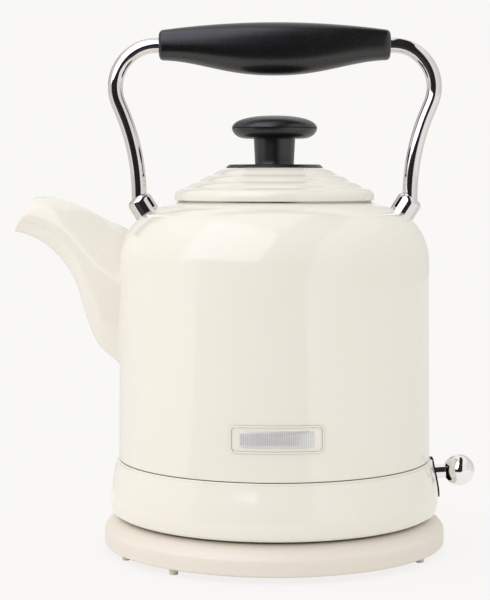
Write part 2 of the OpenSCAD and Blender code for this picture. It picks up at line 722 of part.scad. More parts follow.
module collar(side) color("silver") difference() {
  on_collar(side) revolve(concat(
    [[0, collar_gap], [collar_r - 0.3, collar_gap], [collar_r, collar_gap + 0.3]],
    arc([collar_r - 3, collar_h - 3], 3, 0, 90, 8),
    [[0, collar_h]]
  ));
  translate([side * arm_x, 0, arm_foot_z - stub_l - fit]) cylinder(d = tube_d + 2 * fit, h = 3 * collar_h);
  on_collar(side) translate([0, 0, -1]) cylinder(r = bolt_r + fit, h = bolt_in + 1 + fit);
}
module spout_side_collar() collar(-1);
module lever_side_collar() collar(1);

// The tube's axis as [x, z, lean] points: stub, slow bend, lean, tight bend, and straight into the grip
function arm_path() = concat(
  [[arm_x, arm_foot_z - stub_l, 0]],
  [for (i = [0:6]) let (a = arm_lean * i / 6)
    [arm_x + lower_bend_r * (1 - cos(a)), arm_foot_z + lower_bend_r * sin(a), a]],
  [for (i = [0:18]) let (a = arm_lean - (90 + arm_lean) * i / 18)
    [upper_centre[0] + upper_bend_r * cos(a), upper_centre[1] - upper_bend_r * sin(a), a]],
  [[upper_centre[0] - grip_gap - tube_in_grip, grip_z, -90]]
);
module arm(side) color("silver")
  skin([for (p = side > 0 ? arm_path() : flip(arm_path()))
    [for (i = [0:23]) let (b = 15 * i, across = tube_d / 2 * cos(b))
      [side * (p[0] + across * cos(p[2])), tube_d / 2 * sin(b), p[1] - across * sin(p[2])]]]);
module spout_side_arm() arm(-1);
module lever_side_arm() arm(1);

// Section of the grip at u along it, from -1 to 1, shrunk by the rounding of its ends
function grip_ring(u, shrink) = let (
    x = u * grip_l,
    back = grip_end_r + grip_crown * (1 - u * u) - shrink,
    front = grip_end_r + grip_belly * (1 + cos(180 * pow(abs(u), 1.15))) / 2 - shrink,
    half = grip_end_r + 4.7 * (1 - u * u) - shrink
  )
  [for (i = [0:31]) let (a = 360 * i / 32) [x, half * cos(a), grip_z + (sin(a) > 0 ? back : front) * sin(a)]];

module handle_grip() color("black") difference() {
  edge = 2;
  rounds = [for (i = [0:3]) let (a = 30 * i) [1 - edge * (1 - sin(a)) / grip_l, edge * (1 - cos(a))]];
  middle = [for (i = [-15:15]) [i / 15 * (1 - edge / grip_l) * 0.999, 0]];
  skin(concat(
    [for (p = flip(rounds)) grip_ring(-p[0], p[1])],
    [for (p = middle) if (abs(p[0]) < 1 - edge / grip_l - 0.001) grip_ring(p[0], p[1])],
    [for (p = rounds) grip_ring(p[0], p[1])]
  ));
  for (side = [-1, 1]) translate([side * (grip_l - tube_in_grip / 2 + 0.5), 0, grip_z]) rotate([0, 90, 0])
    cylinder(d = tube_d + 2 * fit, h = tube_in_grip + 1, center = true);
}

module handle_bolts() color("silver") for (side = [-1, 1])
  on_collar(side) translate([0, 0, seal_z - nut_h - 1]) cylinder(r = bolt_r, h = bolt_in + nut_h + 1 - seal_z);

module handle_nuts() color("silver") for (side = [-1, 1])
  on_collar(side) translate([0, 0, seal_z - fit - nut_h]) difference() {
    cylinder(r = nut_r, h = nut_h, $fn = 6);
    translate([0, 0, -1]) cylinder(r = bolt_r + fit, h = nut_h + 2);
  }

module handle_seals() color("gray") for (side = [-1, 1])
  on_collar(side) translate([0, 0, seal_z]) difference() {
    cylinder(r = nut_r, h = seal_t);
    translate([0, 0, -1]) cylinder(r = bolt_r + fit, h = seal_t + 2);
  }

// ---- Lid and knob -------------------------------------------------------------------------------

// Outside of the lid from its flat top down its ridges to the rim
function lid_side() = concat(
  [for (i = [0:ridges * 6]) let (s = i / ridges / 6, dr = rim_r - lid_top_r, dz = rim_z - lid_top_z,
      n = [-dz, dr] / norm([dr, dz]))
    [lid_top_r, lid_top_z] + s * [dr, dz] + ridge_rise * abs(sin(180 * ridges * s)) * n],
  curve([[rim_r + 0.2, rim_z], [rim_r + 3.5, rim_z - 0.3], [lid_r, rim_z - 1.8], [lid_r, lid_z + 2.8]], 8),
  [[lid_r, lid_z + 1.5], [lid_r - 0.6, lid_z + 0.8], [rim_in_r, lid_z + 0.6]]
);

module lid_shell() color("ivory") revolve(concat(
  [[2.2, lid_top_z]],
  lid_side(),
  [[rim_in_r, lid_z + 2.4], [rim_r, rim_z - 1.4], [lid_top_r, lid_top_z - 1.3]],
  [[lid_top_r - 2, lid_top_z - sheet], [2.2, lid_top_z - sheet]]
));

// Tray that plugs the mouth, its flange pressed into the lid's rim
module lid_liner() color("silver") revolve([
  [0, lid_z - liner_h], [liner_r, lid_z - liner_h], [liner_r, lid_z], [rim_in_r - fit, lid_z],
  [rim_in_r - fit, lid_z + liner_t + 0.8], [rim_in_r - fit - liner_t, lid_z + liner_t + 0.8],
  [rim_in_r - fit - liner_t, lid_z + liner_t], [liner_r - liner_t, lid_z + liner_t],
  [liner_r - liner_t, lid_z - liner_h + liner_t], [0, lid_z - liner_h + liner_t]
]);

module lid_seal() color("gray")
  ring(liner_r + fit, mouth_r - clear, lid_z - liner_h * 0.6, 2.4);

module knob_plate() color("black") revolve([
  [2.2, lid_top_z], [lid_top_r - 0.4, lid_top_z], [lid_top_r - 0.5, lid_top_z + 0.6],
  [lid_top_r - 1.9, plug_z - 0.1], [lid_top_r - 2.6, plug_z], [2.2, plug_z]
]);

module knob_body() color("black") revolve(concat(
  [[0, saucer_z - 3], [2.05, saucer_z - 3], [2.05, plug_z], [stem_r, plug_z], [stem_top_r, saucer_z]],
  curve([[knob_r * 0.66, saucer_z], [knob_r * 0.91, saucer_z + 0.1], [knob_r, parting_z - 3],
    [knob_r - 0.1, parting_z - 0.15]], 10),
  [[knob_r - 0.6, parting_z - 0.1], [knob_r - 0.6, parting_z], [0, parting_z]]
));

module knob_cap() color("black") revolve(concat(
  [[0, parting_z], [knob_r - 0.6, parting_z], [knob_r - 0.6, parting_z + 0.1]],
  curve([[knob_r, parting_z + 0.15], [knob_r - 0.1, parting_z + 4], [knob_r * 0.72, parting_z + knob_cap_h],
    [0, parting_z + knob_cap_h]], 12)
));

module knob_screw() color("silver") translate([0, 0, lid_top_z - 4]) {
  cylinder(r = 2, h = stem_h);
  cylinder(r = 4, h = 2.4);
}

module knob_washer() color("silver")
  ring(2.05, 6, lid_top_z - 4 + 2.4, 4 - 2.4 - sheet);

// ---- Filter -------------------------------------------------------------------------------------

// Outline with round ends, drawn across the opening: [along Z, along Y]
module filter_outline(r) hull() for (z = [-filter_half, filter_half])
  translate([z, 0]) circle(r = r, $fn = 48);

filter_x = -sqrt(pow(wall_in(filter_mid_z + filter_half) - clear, 2) - pow(filter_hole_r + filter_flange, 2));

module along_filter(x, h) translate([x, 0, filter_mid_z]) rotate([0, 90, 0]) linear_extrude(h) children();

module filter_frame() color("dimgray") {
  along_filter(filter_x, flange_t) difference() {
    filter_outline(filter_hole_r + filter_flange);
    filter_outline(filter_hole_r - 2);
  }
  along_filter(filter_x - 3.6, 3.6 + eps) difference() {
    filter_outline(filter_hole_r - clear);
    filter_outline(filter_hole_r - 2);
  }
}

// Woven screen, as a thin sheet with square holes
module filter_mesh() color("silver") along_filter(filter_x - 1.2, 0.4) difference() {
  filter_outline(filter_hole_r - 2 - fit);
  intersection() {
    filter_outline(filter_hole_r - 3);
    for (i = [-8:8], j = [-4:4]) translate([i * 2.6, j * 2.6]) square(1.7, center = true);
  }
}

// ---- Assembly -----------------------------------------------------------------------------------

base_cover();
base_underside();
base_foot_ring();
base_rim_feet();
base_screws();
base_socket();
base_live_contact();
base_neutral_contact();
base_earth_contact();
cord_gland();
body_shell();
spout();
vessel_floor();
floor_seal();
floor_posts();
heat_plate();
heating_element();
bimetal_discs();
control_housing();
control_screws();
kettle_live_ring();
kettle_neutral_ring();
kettle_earth_pin();
trip_pin();
trip_spring();
lever_bracket();
lever_pin();
steam_tube();
steam_tube_seal();
skirt();
underside_cover();
underside_screws();
switch_plate();
spout_side_arm();
lever_side_arm();
spout_side_collar();
lever_side_collar();
handle_grip();
handle_bolts();
handle_nuts();
handle_seals();
lid_shell();
lid_liner();
lid_seal();
knob_plate();
knob_body();
knob_cap();
knob_screw();
knob_washer();
filter_frame();
filter_mesh();
lever_hub();
lever_rod();
lever_ball();
trip_rocker();
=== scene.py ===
# %% [markdown]
# # A cordless kettle, cell by cell
# This file dresses an electric kettle: a drawn steel body in cream enamel, a pressed spout, a tube handle
# with a moulded grip, a ribbed lid, a rocking switch lever and a round power base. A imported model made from
# solid parts comes first. It fixes where each piece is and how it moves. The pieces that are seen get
# finer surfaces here, worked out with numpy, and every piece gets a material made of shader nodes.

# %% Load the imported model
import math

import bmesh
import bpy
import numpy as np
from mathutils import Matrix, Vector


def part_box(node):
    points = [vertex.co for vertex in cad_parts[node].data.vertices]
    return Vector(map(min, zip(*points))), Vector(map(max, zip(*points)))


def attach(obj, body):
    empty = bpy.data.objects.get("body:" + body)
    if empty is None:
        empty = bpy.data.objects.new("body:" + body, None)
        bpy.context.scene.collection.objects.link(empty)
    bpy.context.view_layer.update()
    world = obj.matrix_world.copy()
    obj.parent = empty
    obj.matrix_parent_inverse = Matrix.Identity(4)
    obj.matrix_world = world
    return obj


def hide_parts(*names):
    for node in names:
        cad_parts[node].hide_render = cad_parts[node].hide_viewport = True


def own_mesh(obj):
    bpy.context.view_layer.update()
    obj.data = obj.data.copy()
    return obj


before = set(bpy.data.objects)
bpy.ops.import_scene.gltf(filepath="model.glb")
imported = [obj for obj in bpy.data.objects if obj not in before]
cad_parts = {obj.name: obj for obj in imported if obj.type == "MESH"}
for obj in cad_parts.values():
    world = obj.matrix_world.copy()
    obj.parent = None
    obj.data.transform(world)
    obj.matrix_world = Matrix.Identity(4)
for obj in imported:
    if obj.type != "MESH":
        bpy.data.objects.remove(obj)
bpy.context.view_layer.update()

# %% [markdown]
# ## Millimetres
# Every size of the kettle is in millimetres and is turned to metres in one place, where a closed mesh is
# made. Heights and radii are read from the boxes of the solid parts, so the fine surfaces land on them.

# %% Sizes read from the solid parts
MM = 0.001


def box(node):
    """Lowest and highest corner of a solid part, in millimetres."""
    low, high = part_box(node)
    return np.array(low) / MM, np.array(high) / MM


def round_box(node):
    """Outer radius, lowest and highest level of a part that stands round the axis."""
    low, high = box(node)
    return high[0], low[2], high[2]


body_r, wall_foot, neck_z = round_box("body_shell")
skirt_r, foot_z, seam_z = round_box("skirt")
base_r, base_clear, base_h = round_box("base_cover")
print("body radius", round(body_r, 1), "seam at", round(seam_z, 1), "mouth at", round(neck_z, 1))

# %% [markdown]
# ## The camera
# The kettle is seen from just above its lid's rim, through a long lens that keeps its upright sides
# straight. The camera stands 0.9 m away, looks four degrees down and is turned a degree to one side.

# %% Camera
camera_data = bpy.data.cameras.new("studio_camera")
camera_data.lens, camera_data.sensor_width = 100.9, 36
camera = bpy.data.objects.new("studio_camera", camera_data)
camera.location = (0, -0.894, 0.1974)
camera.rotation_euler = (math.radians(90 - 4.18), 0, math.radians(1.0))
bpy.context.scene.collection.objects.link(camera)
bpy.context.scene.camera = camera
print("camera", tuple(round(v, 3) for v in camera.location))

# %% [markdown]
# ## Sums on shader sockets
# Blender wants one Math node for each step of a sum. The small class below stands for one output socket
# and lets Python's own operators add those nodes, so `0.06 + 0.04 * noise` is written as it is read.


# %% One socket, with Python's arithmetic
def operator(operation):
    """A method that joins a socket and another value with one Math node."""
    return lambda wire, other: wire.graph.node("Math", {"operation": operation}, {0: wire, 1: other})


class Wire:
    """An output socket. Each operator on it adds one Math node that does the same sum."""

    def __init__(self, graph, socket):
        self.graph, self.socket = graph, socket

    __add__ = __radd__ = operator("ADD")
    __sub__ = operator("SUBTRACT")
    __mul__ = __rmul__ = operator("MULTIPLY")
    __pow__ = operator("POWER")
    most = operator("MAXIMUM")


# %% [markdown]
# ## A finish
# A finish is a material with one Principled shader. Numbers that are the same all over are set on the
# shader itself; only colour, roughness and the surface normal vary. One method adds all other nodes: it
# sets a node's choices first and then plugs in its values. It serves the world's node tree too.


# %% Materials from one method
def paint(red, green, blue):
    """A colour written as on a screen, 0 to 255, turned to the linear light that shaders work in."""
    c = np.array([red, green, blue]) / 255
    linear = np.where(c <= 0.04045, c / 12.92, ((c + 0.055) / 1.055) ** 2.4)
    return (*linear.tolist(), 1.0)


class Graph:
    """A node tree, and the one method that adds nodes to it."""

    def __init__(self, tree):
        self.tree = tree

    def plug(self, socket, value):
        if isinstance(value, Wire):
            self.tree.links.new(value.socket, socket)
        else:
            socket.default_value = value

    def node(self, kind, settings=None, inputs=None, output=0):
        made = self.tree.nodes.new("ShaderNode" + kind)
        for key, value in (settings or {}).items():
            setattr(made, key, value)
        for key, value in (inputs or {}).items():
            self.plug(made.inputs[key], value)
        return made if output is None else Wire(self, made.outputs[output])

    def outputs(self, kind, names, inputs=None):
        """Several outputs of one new node."""
        made = self.node(kind, {}, inputs, None)
        return [Wire(self, made.outputs[name]) for name in names]


class Finish(Graph):
    """A material, its Principled shader and its object coordinates."""

    def __init__(self, name, **constants):
        self.material = bpy.data.materials.new(name)
        self.material.use_nodes = True
        super().__init__(self.material.node_tree)
        self.shader = self.tree.nodes["Principled BSDF"]
        for key, value in constants.items():
            self.shader.inputs[key.replace("_", " ")].default_value = value
        self.place = self.node("TexCoord", output="Object")

    def noise(self, size, detail=2.0, rough=0.5):
        """Soft random shade from 0 to 1 whose blotches are about `size` millimetres across."""
        return self.node("TexNoise", {}, {
            "Vector": self.place, "Scale": 1 / (size * MM), "Detail": detail, "Roughness": rough})

    def colour(self, factor, first, second):
        """Base colour that goes from one paint to the other as the factor goes from 0 to 1."""
        mixed = self.node("Mix", {"data_type": "RGBA"}, {0: factor, 6: paint(*first), 7: paint(*second)}, 2)
        self.plug(self.shader.inputs["Base Color"], mixed)

    def roughness(self, wire):
        self.plug(self.shader.inputs["Roughness"], wire)

    def bump(self, height, depth, strength=1.0):
        """Tilts the surface as if its height changed by `depth` millimetres from 0 to 1."""
        normal = self.node("Bump", {}, {"Height": height, "Distance": depth * MM, "Strength": strength})
        self.plug(self.shader.inputs["Normal"], normal)


# %% [markdown]
# ## Enamel and paint
# The body, spout, lid and skirt are steel under a thick gloss coat. A sprayed gloss coat is never quite
# flat: it has a faint orange peel a millimetre or two across, seen only in how reflections wobble. The
# colour drifts by a hair over the surface. Enamel is glass, so its reflection is sharp but weak: about
# 4% of the light straight on, and more and more towards the edges.

# %% Cream enamel
enamel = Finish("cream_enamel_gloss", IOR=1.5)
drift = enamel.noise(45, 2)
enamel.colour(drift, (239, 236, 226), (237, 234, 222))
enamel.roughness(0.06 + 0.04 * enamel.noise(6, 2))
enamel.bump(enamel.noise(2.2, 1, 0.4), 0.006, 0.5)
print("enamel", enamel.material.name)

# %% [markdown]
# ## Moulded plastics
# The power base is bare moulded plastic in a slightly warmer cream. Its tool is spark-eroded, which leaves
# a fine even grain, and that grain is what makes it matt. The knob and grip are black plastic with a
# shallower grain, so they show soft pale streaks. Small noises make the grain, and larger ones the faint
# unevenness of handling.


# %% Plastics
def moulded(name, light, dark, roughness, grain, depth, **constants):
    """Moulded plastic: two close colours in blotches, and a grain of the given size and depth in mm."""
    finish = Finish(name, **constants)
    finish.colour(finish.noise(18, 3), light, dark)
    handled = finish.noise(9, 3, 0.6)
    finish.roughness(roughness + 0.1 * (handled - 0.5))
    finish.bump(finish.noise(grain, 2, 0.6) + 0.4 * finish.noise(grain * 3, 1), depth, 0.6)
    return finish


base_plastic = moulded("cream_plastic_grained", (233, 226, 214), (230, 222, 210), 0.5, 0.35, 0.012)
black_plastic = moulded("black_plastic_satin", (18, 17, 18), (14, 13, 14), 0.27, 0.4, 0.001, IOR=1.62)
knob_plastic = moulded("black_knob_plastic", (21, 17, 17), (16, 13, 13), 0.35, 0.4, 0.003, IOR=1.62)
switch_plastic = moulded("black_plastic_fine", (16, 15, 15), (12, 11, 11), 0.6, 0.3, 0.006,
                         Specular_IOR_Level=0.06)
under_plastic = moulded("grey_plastic_grained", (64, 60, 56), (55, 51, 48), 0.52, 0.4, 0.015)
control_plastic = moulded("heatproof_plastic", (36, 34, 34), (28, 27, 27), 0.46, 0.3, 0.01)
ivory_plastic = moulded("ivory_plastic", (224, 216, 196), (212, 203, 182), 0.4, 0.3, 0.008)
rubber = moulded("grey_rubber", (116, 113, 108), (98, 95, 91), 0.7, 0.25, 0.02)
print("plastics made")

# %% [markdown]
# ## Metals
# Chrome is a mirror with a hint of warmth. What keeps it from looking computed is a very faint haze in
# patches and a slow ripple of the plated tube. Turned and drawn steel carries fine lines round its axis, so
# its pattern is noise read by radius and height: each line then runs round the part.


# %% Chrome, and metal with lines round its axis
def plated(name, light, dark):
    """Chrome plate: a mirror with faint hazy patches and the slow ripple of the metal below."""
    finish = Finish(name, Metallic=1.0)
    haze = finish.noise(7, 3, 0.6)
    finish.colour(haze, light, dark)
    finish.roughness(0.02 + 0.05 * haze ** 2)
    finish.bump(finish.noise(9, 1), 0.01, 0.35)
    return finish


chrome = plated("polished_chrome", (230, 227, 225), (224, 221, 220))
bright_chrome = plated("bright_ball_chrome", (245, 244, 243), (240, 239, 238))


def ringed(name, light, dark, roughness, line=0.25, depth=0.004):
    """Metal with fine lines round the upright axis. Noise is read at (radius, height), not (x, y, z)."""
    finish = Finish(name, Metallic=1.0)
    x, y, z = finish.outputs("SeparateXYZ", "XYZ", {0: finish.place})
    radius = (x * x + y * y) ** 0.5
    track = finish.node("CombineXYZ", {}, {0: radius, 1: z, 2: x * 0.03})
    lines = finish.node("TexNoise", {}, {
        "Vector": track, "Scale": 1 / (line * MM), "Detail": 2.0, "Roughness": 0.6})
    finish.colour(lines, light, dark)
    finish.roughness(roughness + 0.16 * (lines - 0.5) + 0.1 * (finish.noise(12, 3) - 0.5))
    finish.bump(lines, depth, 0.5)
    return finish


steel = ringed("drawn_steel", (196, 194, 190), (176, 174, 170), 0.3)
aluminium = ringed("turned_aluminium", (206, 206, 208), (186, 186, 189), 0.36, 0.5, 0.008)
sheath = ringed("element_sheath", (150, 148, 146), (120, 116, 112), 0.42, 0.4)
brass = ringed("rolled_brass", (206, 170, 96), (184, 148, 78), 0.28, 0.3)
zinc = ringed("zinc_screw_steel", (190, 190, 192), (160, 161, 165), 0.32, 0.3)
bimetal = ringed("bimetal_disc", (186, 150, 118), (160, 126, 98), 0.34, 0.4)
print("metals made")

# %% [markdown]
# ## Surfaces from grids
# Nearly every piece of a kettle is either turned round an axis or carried along a path. Both are a grid of
# points: rows along an outline and columns round it. The helpers here give the corner numbers of a grid's
# quads, join the points that meet at a pole, close what is left open, and check that the signed volume is
# positive, which means that the faces point outwards.


# %% Grids to meshes
SHARP = 35  # degrees; an edge that turns further stays crisp


def around(count):
    """Even angles once round a circle."""
    return np.linspace(0, 2 * np.pi, count, endpoint=False)


def quads(rows, columns, loop):
    """Corner numbers of a grid's faces. Columns always close on themselves; rows do if loop is true."""
    row = np.arange(rows if loop else rows - 1)[:, None]
    column = np.arange(columns)[None, :]
    ahead, across = (row + 1) % rows, (column + 1) % columns
    corners = (row * columns + column, row * columns + across,
               ahead * columns + across, ahead * columns + column)
    return np.stack(np.broadcast_arrays(*corners), axis=-1).reshape(-1, 4)


def meshed(name, grid, faces, finishes):
    """An object from a grid of points in metres."""
    mesh = bpy.data.meshes.new(name)
    mesh.from_pydata(grid.reshape(-1, 3), [], faces)
    for finish in finishes:
        mesh.materials.append(finish.material)
    made = bpy.data.objects.new(name, mesh)
    bpy.context.scene.collection.objects.link(made)
    return made


def shell(name, grid, finishes, bands=(), loop=True, sharp=SHARP):
    """Makes a closed mesh from a (rows, columns, 3) grid in mm. Row bands take the finishes in turn."""
    rows, columns, _ = grid.shape
    faces = quads(rows, columns, loop)
    made = meshed(name, grid * MM, faces, finishes)
    band = np.searchsorted(np.array(bands, int), faces[:, 0] // columns, side="right")
    made.data.polygons.foreach_set("material_index", band.astype(np.int32))
    tidy(made.data, sharp)
    return made


def tidy(mesh, sharp):
    """Joins doubled points, fills open ends, turns the faces outwards and sets smooth shading."""
    work = bmesh.new()
    work.from_mesh(mesh)
    bmesh.ops.remove_doubles(work, verts=work.verts, dist=1e-7)
    bmesh.ops.dissolve_degenerate(work, edges=work.edges, dist=1e-8)
    rims = [edge for edge in work.edges if edge.is_boundary]
    if rims:
        bmesh.ops.holes_fill(work, edges=rims)
    if work.calc_volume(signed=True) < 0:
        bmesh.ops.reverse_faces(work, faces=work.faces)
    work.to_mesh(mesh)
    work.free()
    mesh.shade_smooth()
    mesh.set_sharp_from_angle(angle=math.radians(sharp))


# %% [markdown]
# ## Outlines
# A real edge is never sharp: sheet bends round a die and plastic leaves a mould with a small radius, and
# that radius is what catches the light. `rounded` takes corners with a radius each and swings an arc round
# every one of them at once. It adds a point just before and after each arc, so that smooth shading doesn't
# spread the curve over the flat beside it. `filled` then puts points into long straight stretches.


# %% Outlines with rounded corners
def unit(v):
    return v / np.maximum(np.linalg.norm(v, axis=-1, keepdims=True), 1e-12)


def rounded(corners, steps=6, guard=0.4):
    """Closed outline from (x, y, radius) corners. An arc touches both sides at radius * tan(turn / 2)."""
    c = np.array([tuple(p) + (0.0,) * (3 - len(p)) for p in corners], float)
    p, radius = c[:, :2], c[:, 2:]
    to_next, to_last = np.roll(p, -1, 0) - p, np.roll(p, 1, 0) - p
    ahead, back = unit(to_next), unit(to_last)
    turn = np.arccos(np.clip(-(ahead * back).sum(1, keepdims=True), -1, 1))
    turn = np.maximum(turn, 1e-4)
    reach = radius * np.tan(turn / 2)
    centre = p + unit(ahead + back) * radius / np.cos(turn / 2)
    s = np.linspace(0, 1, steps + 1)[None, :, None]
    first, last = (p + back * reach - centre)[:, None], (p + ahead * reach - centre)[:, None]
    t = turn[:, None]
    arcs = centre[:, None] + (np.sin((1 - s) * t) * first + np.sin(s * t) * last) / np.sin(t)
    spare = np.linalg.norm(to_next, axis=1, keepdims=True) - reach - np.roll(reach, -1, 0)
    gap = np.clip(spare * 0.25, 0, guard)
    before = p + back * (reach + np.roll(gap, 1, 0) * (radius > 0))
    after = p + ahead * (reach + gap * (radius > 0))
    outline = np.concatenate([before[:, None], arcs, after[:, None]], axis=1).reshape(-1, 2)
    return apart(outline)


def apart(outline):
    """The outline without points that repeat the one before them."""
    step = np.linalg.norm(outline - np.roll(outline, 1, 0), axis=-1)
    return outline[step > 1e-5]


def filled(outline, spacing, loop=True):
    """The outline with extra points, so that no two neighbours are more than `spacing` apart."""
    ahead = np.roll(outline, -1, 0) if loop else outline[1:]
    here = outline if loop else outline[:-1]
    count = np.maximum(np.ceil(np.linalg.norm(ahead - here, axis=1) / spacing), 1).astype(int)
    start = np.repeat(np.cumsum(count) - count, count)
    part = ((np.arange(count.sum()) - start) / np.repeat(count, count))[:, None]
    made = np.repeat(here, count, axis=0) * (1 - part) + np.repeat(ahead, count, axis=0) * part
    return made if loop else np.concatenate([made, outline[-1:]])


def bezier(points, count=14):
    """Cubic curve: each control point weighs (1-t)^3, 3t(1-t)^2, 3t^2(1-t) and t^3."""
    t = np.linspace(0, 1, count)[:, None]
    p = np.array(points, float)
    return (1 - t) ** 3 * p[0] + 3 * t * (1 - t) ** 2 * p[1] + 3 * t ** 2 * (1 - t) * p[2] + t ** 3 * p[3]


# %% [markdown]
# ## Turned pieces
# A turned piece is its outline carried once round an axis: the point at radius r and angle a is
# (r cos a, r sin a, height). For a collar or a ball the same ring is stood on its own axis.


# %% Turning round an axis
def rings(outline, columns):
    """Grid of a (radius, height) outline carried once round Z."""
    angle, r, h = around(columns), outline[:, :1], outline[:, 1:]
    return np.stack([r * np.cos(angle), r * np.sin(angle), h + 0 * angle], axis=-1)


def turned(name, outline, finishes, columns, bands=(), loop=True, sharp=SHARP, foot=None, along=None):
    """Turns (radius, height) once round. foot and along put the axis elsewhere, in the XZ plane."""
    grid = rings(outline, columns)
    if foot is not None:
        grid = stood(grid, foot, along)
    return shell(name, grid, finishes, bands, loop, sharp)


def stood(grid, foot, along):
    """Stands a grid made round Z on a foot point, with its Z turned to the direction `along`."""
    up = unit(np.array(along, float))
    side = np.cross([0, 1, 0], up)
    return np.array(foot) + grid[..., :1] * side + grid[..., 1:2] * np.array([0, 1, 0]) + grid[..., 2:] * up


# %% [markdown]
# ## Putting a piece on the kettle
# A finished piece rides on a body, so it moves when that body does. It says which solid parts it stands
# for, and those stay hidden but still count for contact.


# %% Fitting a piece
def fit(piece, body, slot, *nodes):
    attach(piece, body)
    if nodes:
        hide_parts(*nodes)
    print(f"{piece.name}: {len(piece.data.polygons)} faces on {body}")


# %% [markdown]
# ## The body
# The body is one deep-drawn steel can: a wall with almost no taper, a shoulder of 30 mm radius, a flatter
# top that slopes up to the mouth and a lip that turns down inside it. It could be a cylinder with bevelled
# edges, but the shoulder runs smoothly into both sides, so an outline with true arcs is better. The outer
# rows are enamel and the inner rows are bare steel.

# %% Body outline
sheet = 1.0
taper, shoulder_r = 1.2, 30.0
wall_top_r = body_r - taper
neck_r, mouth_r, lip_z, slope = 51.0, 48.5, neck_z - 8, math.tan(math.radians(15))
shoulder_peak = neck_z - (wall_top_r - neck_r) * slope
outer_wall = [(body_r, wall_foot, 0.45), (wall_top_r, shoulder_peak, shoulder_r), (neck_r, neck_z, 1.2),
              (mouth_r, neck_z, 0.9), (mouth_r, lip_z, 0.3)]
inner_wall = [(mouth_r + sheet, lip_z, 0.3), (mouth_r + sheet, neck_z - sheet - 0.2, 0.3),
              (neck_r - 0.2, neck_z - sheet - 0.2, 0.5),
              (wall_top_r - sheet, shoulder_peak - sheet, shoulder_r - sheet),
              (body_r - sheet, wall_foot, 0.45)]
body_outline = filled(rounded(outer_wall + inner_wall, steps=18), 2.6)
lip = int(np.argmin(np.hypot(*(body_outline - [mouth_r + 0.5, lip_z]).T)))
print("body outline:", len(body_outline), "points, lip at", lip)

# %% [markdown]
# The wall behind the spout has an opening that the filter plugs into. A cutter with round ends is taken
# away from the shell, as a press tool would do, and the cut edge keeps the bare steel.


# %% Cutting openings
def carve(piece, cutter):
    """Takes the cutter's volume out of a piece and removes the cutter."""
    cut = piece.modifiers.new("cut", "BOOLEAN")
    cut.operation, cut.solver, cut.object = "DIFFERENCE", "EXACT", cutter
    bpy.context.view_layer.update()
    whole = piece.evaluated_get(bpy.context.evaluated_depsgraph_get())
    mesh = bpy.data.meshes.new_from_object(whole)
    piece.modifiers.clear()
    old, piece.data = piece.data, mesh
    bpy.data.meshes.remove(old)
    bpy.data.objects.remove(cutter)
    mesh.set_sharp_from_angle(angle=math.radians(SHARP))


def prism(name, outline, depth, frame_at, finishes, last=0):
    """Straight bar with the given flat outline. frame_at is (origin, x axis, y axis, depth axis)."""
    origin, x_axis, y_axis, z_axis = (np.array(v, float) for v in frame_at)
    flat = origin + outline[:, :1] * x_axis + outline[:, 1:] * y_axis
    grid = np.stack([flat, flat + depth * z_axis])
    made = shell(name, grid, finishes, loop=False)
    index = np.full(len(made.data.polygons), last, np.int32)
    made.data.polygons.foreach_set("material_index", index)
    return made


def slot_outline(half_w, half_h, radius, steps=10):
    """Rounded rectangle round the origin."""
    corners = [(x * half_w, y * half_h, radius) for x, y in ((1, -1), (1, 1), (-1, 1), (-1, -1))]
    return rounded(corners, steps=steps, guard=0.3)


body = turned("enamel_body", body_outline, [enamel, steel], columns=224, bands=[lip])
filter_z = sum(box("filter_frame"))[2] / 2
opening = prism("opening_cutter", slot_outline(13, 25.5, 12.9, 16), 14,
                ([-body_r - 1, 0, filter_z], [0, 1, 0], [0, 0, 1], [1, 0, 0]), [enamel, steel], last=1)
carve(body, opening)
fit(body, "kettle", "cream_enamel", "body_shell")

# %% [markdown]
# ## The spout
# The spout is pressed in two halves, welded and ground smooth before it is enamelled. It is a row of oval
# sections between two curves: the back, which runs up and out to the top of the lip, and the belly, which
# sweeps out of the wall and under. Its root is pushed onto the body's round wall and flares there with a
# small fillet.

# %% Spout sections
wall_h = 104.7
shoulder_z = wall_foot + wall_h
tip_x = box("spout")[0][0]
root_half_w, narrowing = 19, 8


def wall_at(z):
    """Outside radius of the body at height z: the tapering wall, then the shoulder's arc."""
    z = np.asarray(z, float)
    rise = np.maximum(z, shoulder_z) - shoulder_z
    arc = wall_top_r - shoulder_r + np.sqrt(np.maximum(shoulder_r ** 2 - rise ** 2, 0))
    return np.where(z < shoulder_z, body_r - taper * (z - wall_foot) / wall_h, arc)


def out_from_wall(points):
    """(distance out of the wall, height above the shoulder's start) turned to (x, z)."""
    p = np.array(points, float)
    return np.stack([-body_r - p[:, 0], shoulder_z + p[:, 1]], axis=1)


back_root, belly_root = ([-float(wall_at(z)), z] for z in (shoulder_z + 14.8, shoulder_z - 56.6))
back_line = [back_root, *out_from_wall([[11.9, 25], [28.9, 35.5], [43.5, 33.5]])]
belly_line = [belly_root, *out_from_wall([[10.9, -51], [15.9, -36], [19.9, -21]])]
beak_line = [belly_line[-1], *out_from_wall([[23.4, -4], [36.9, 12], [-body_r - tip_x, 15.2]])]


def on_line(line, s, count=241):
    """Points on a cubic curve at the parts s of its length in t, from 0 to 1."""
    return np.stack([np.interp(s, np.linspace(0, 1, count), c) for c in bezier(line, count).T], 1)


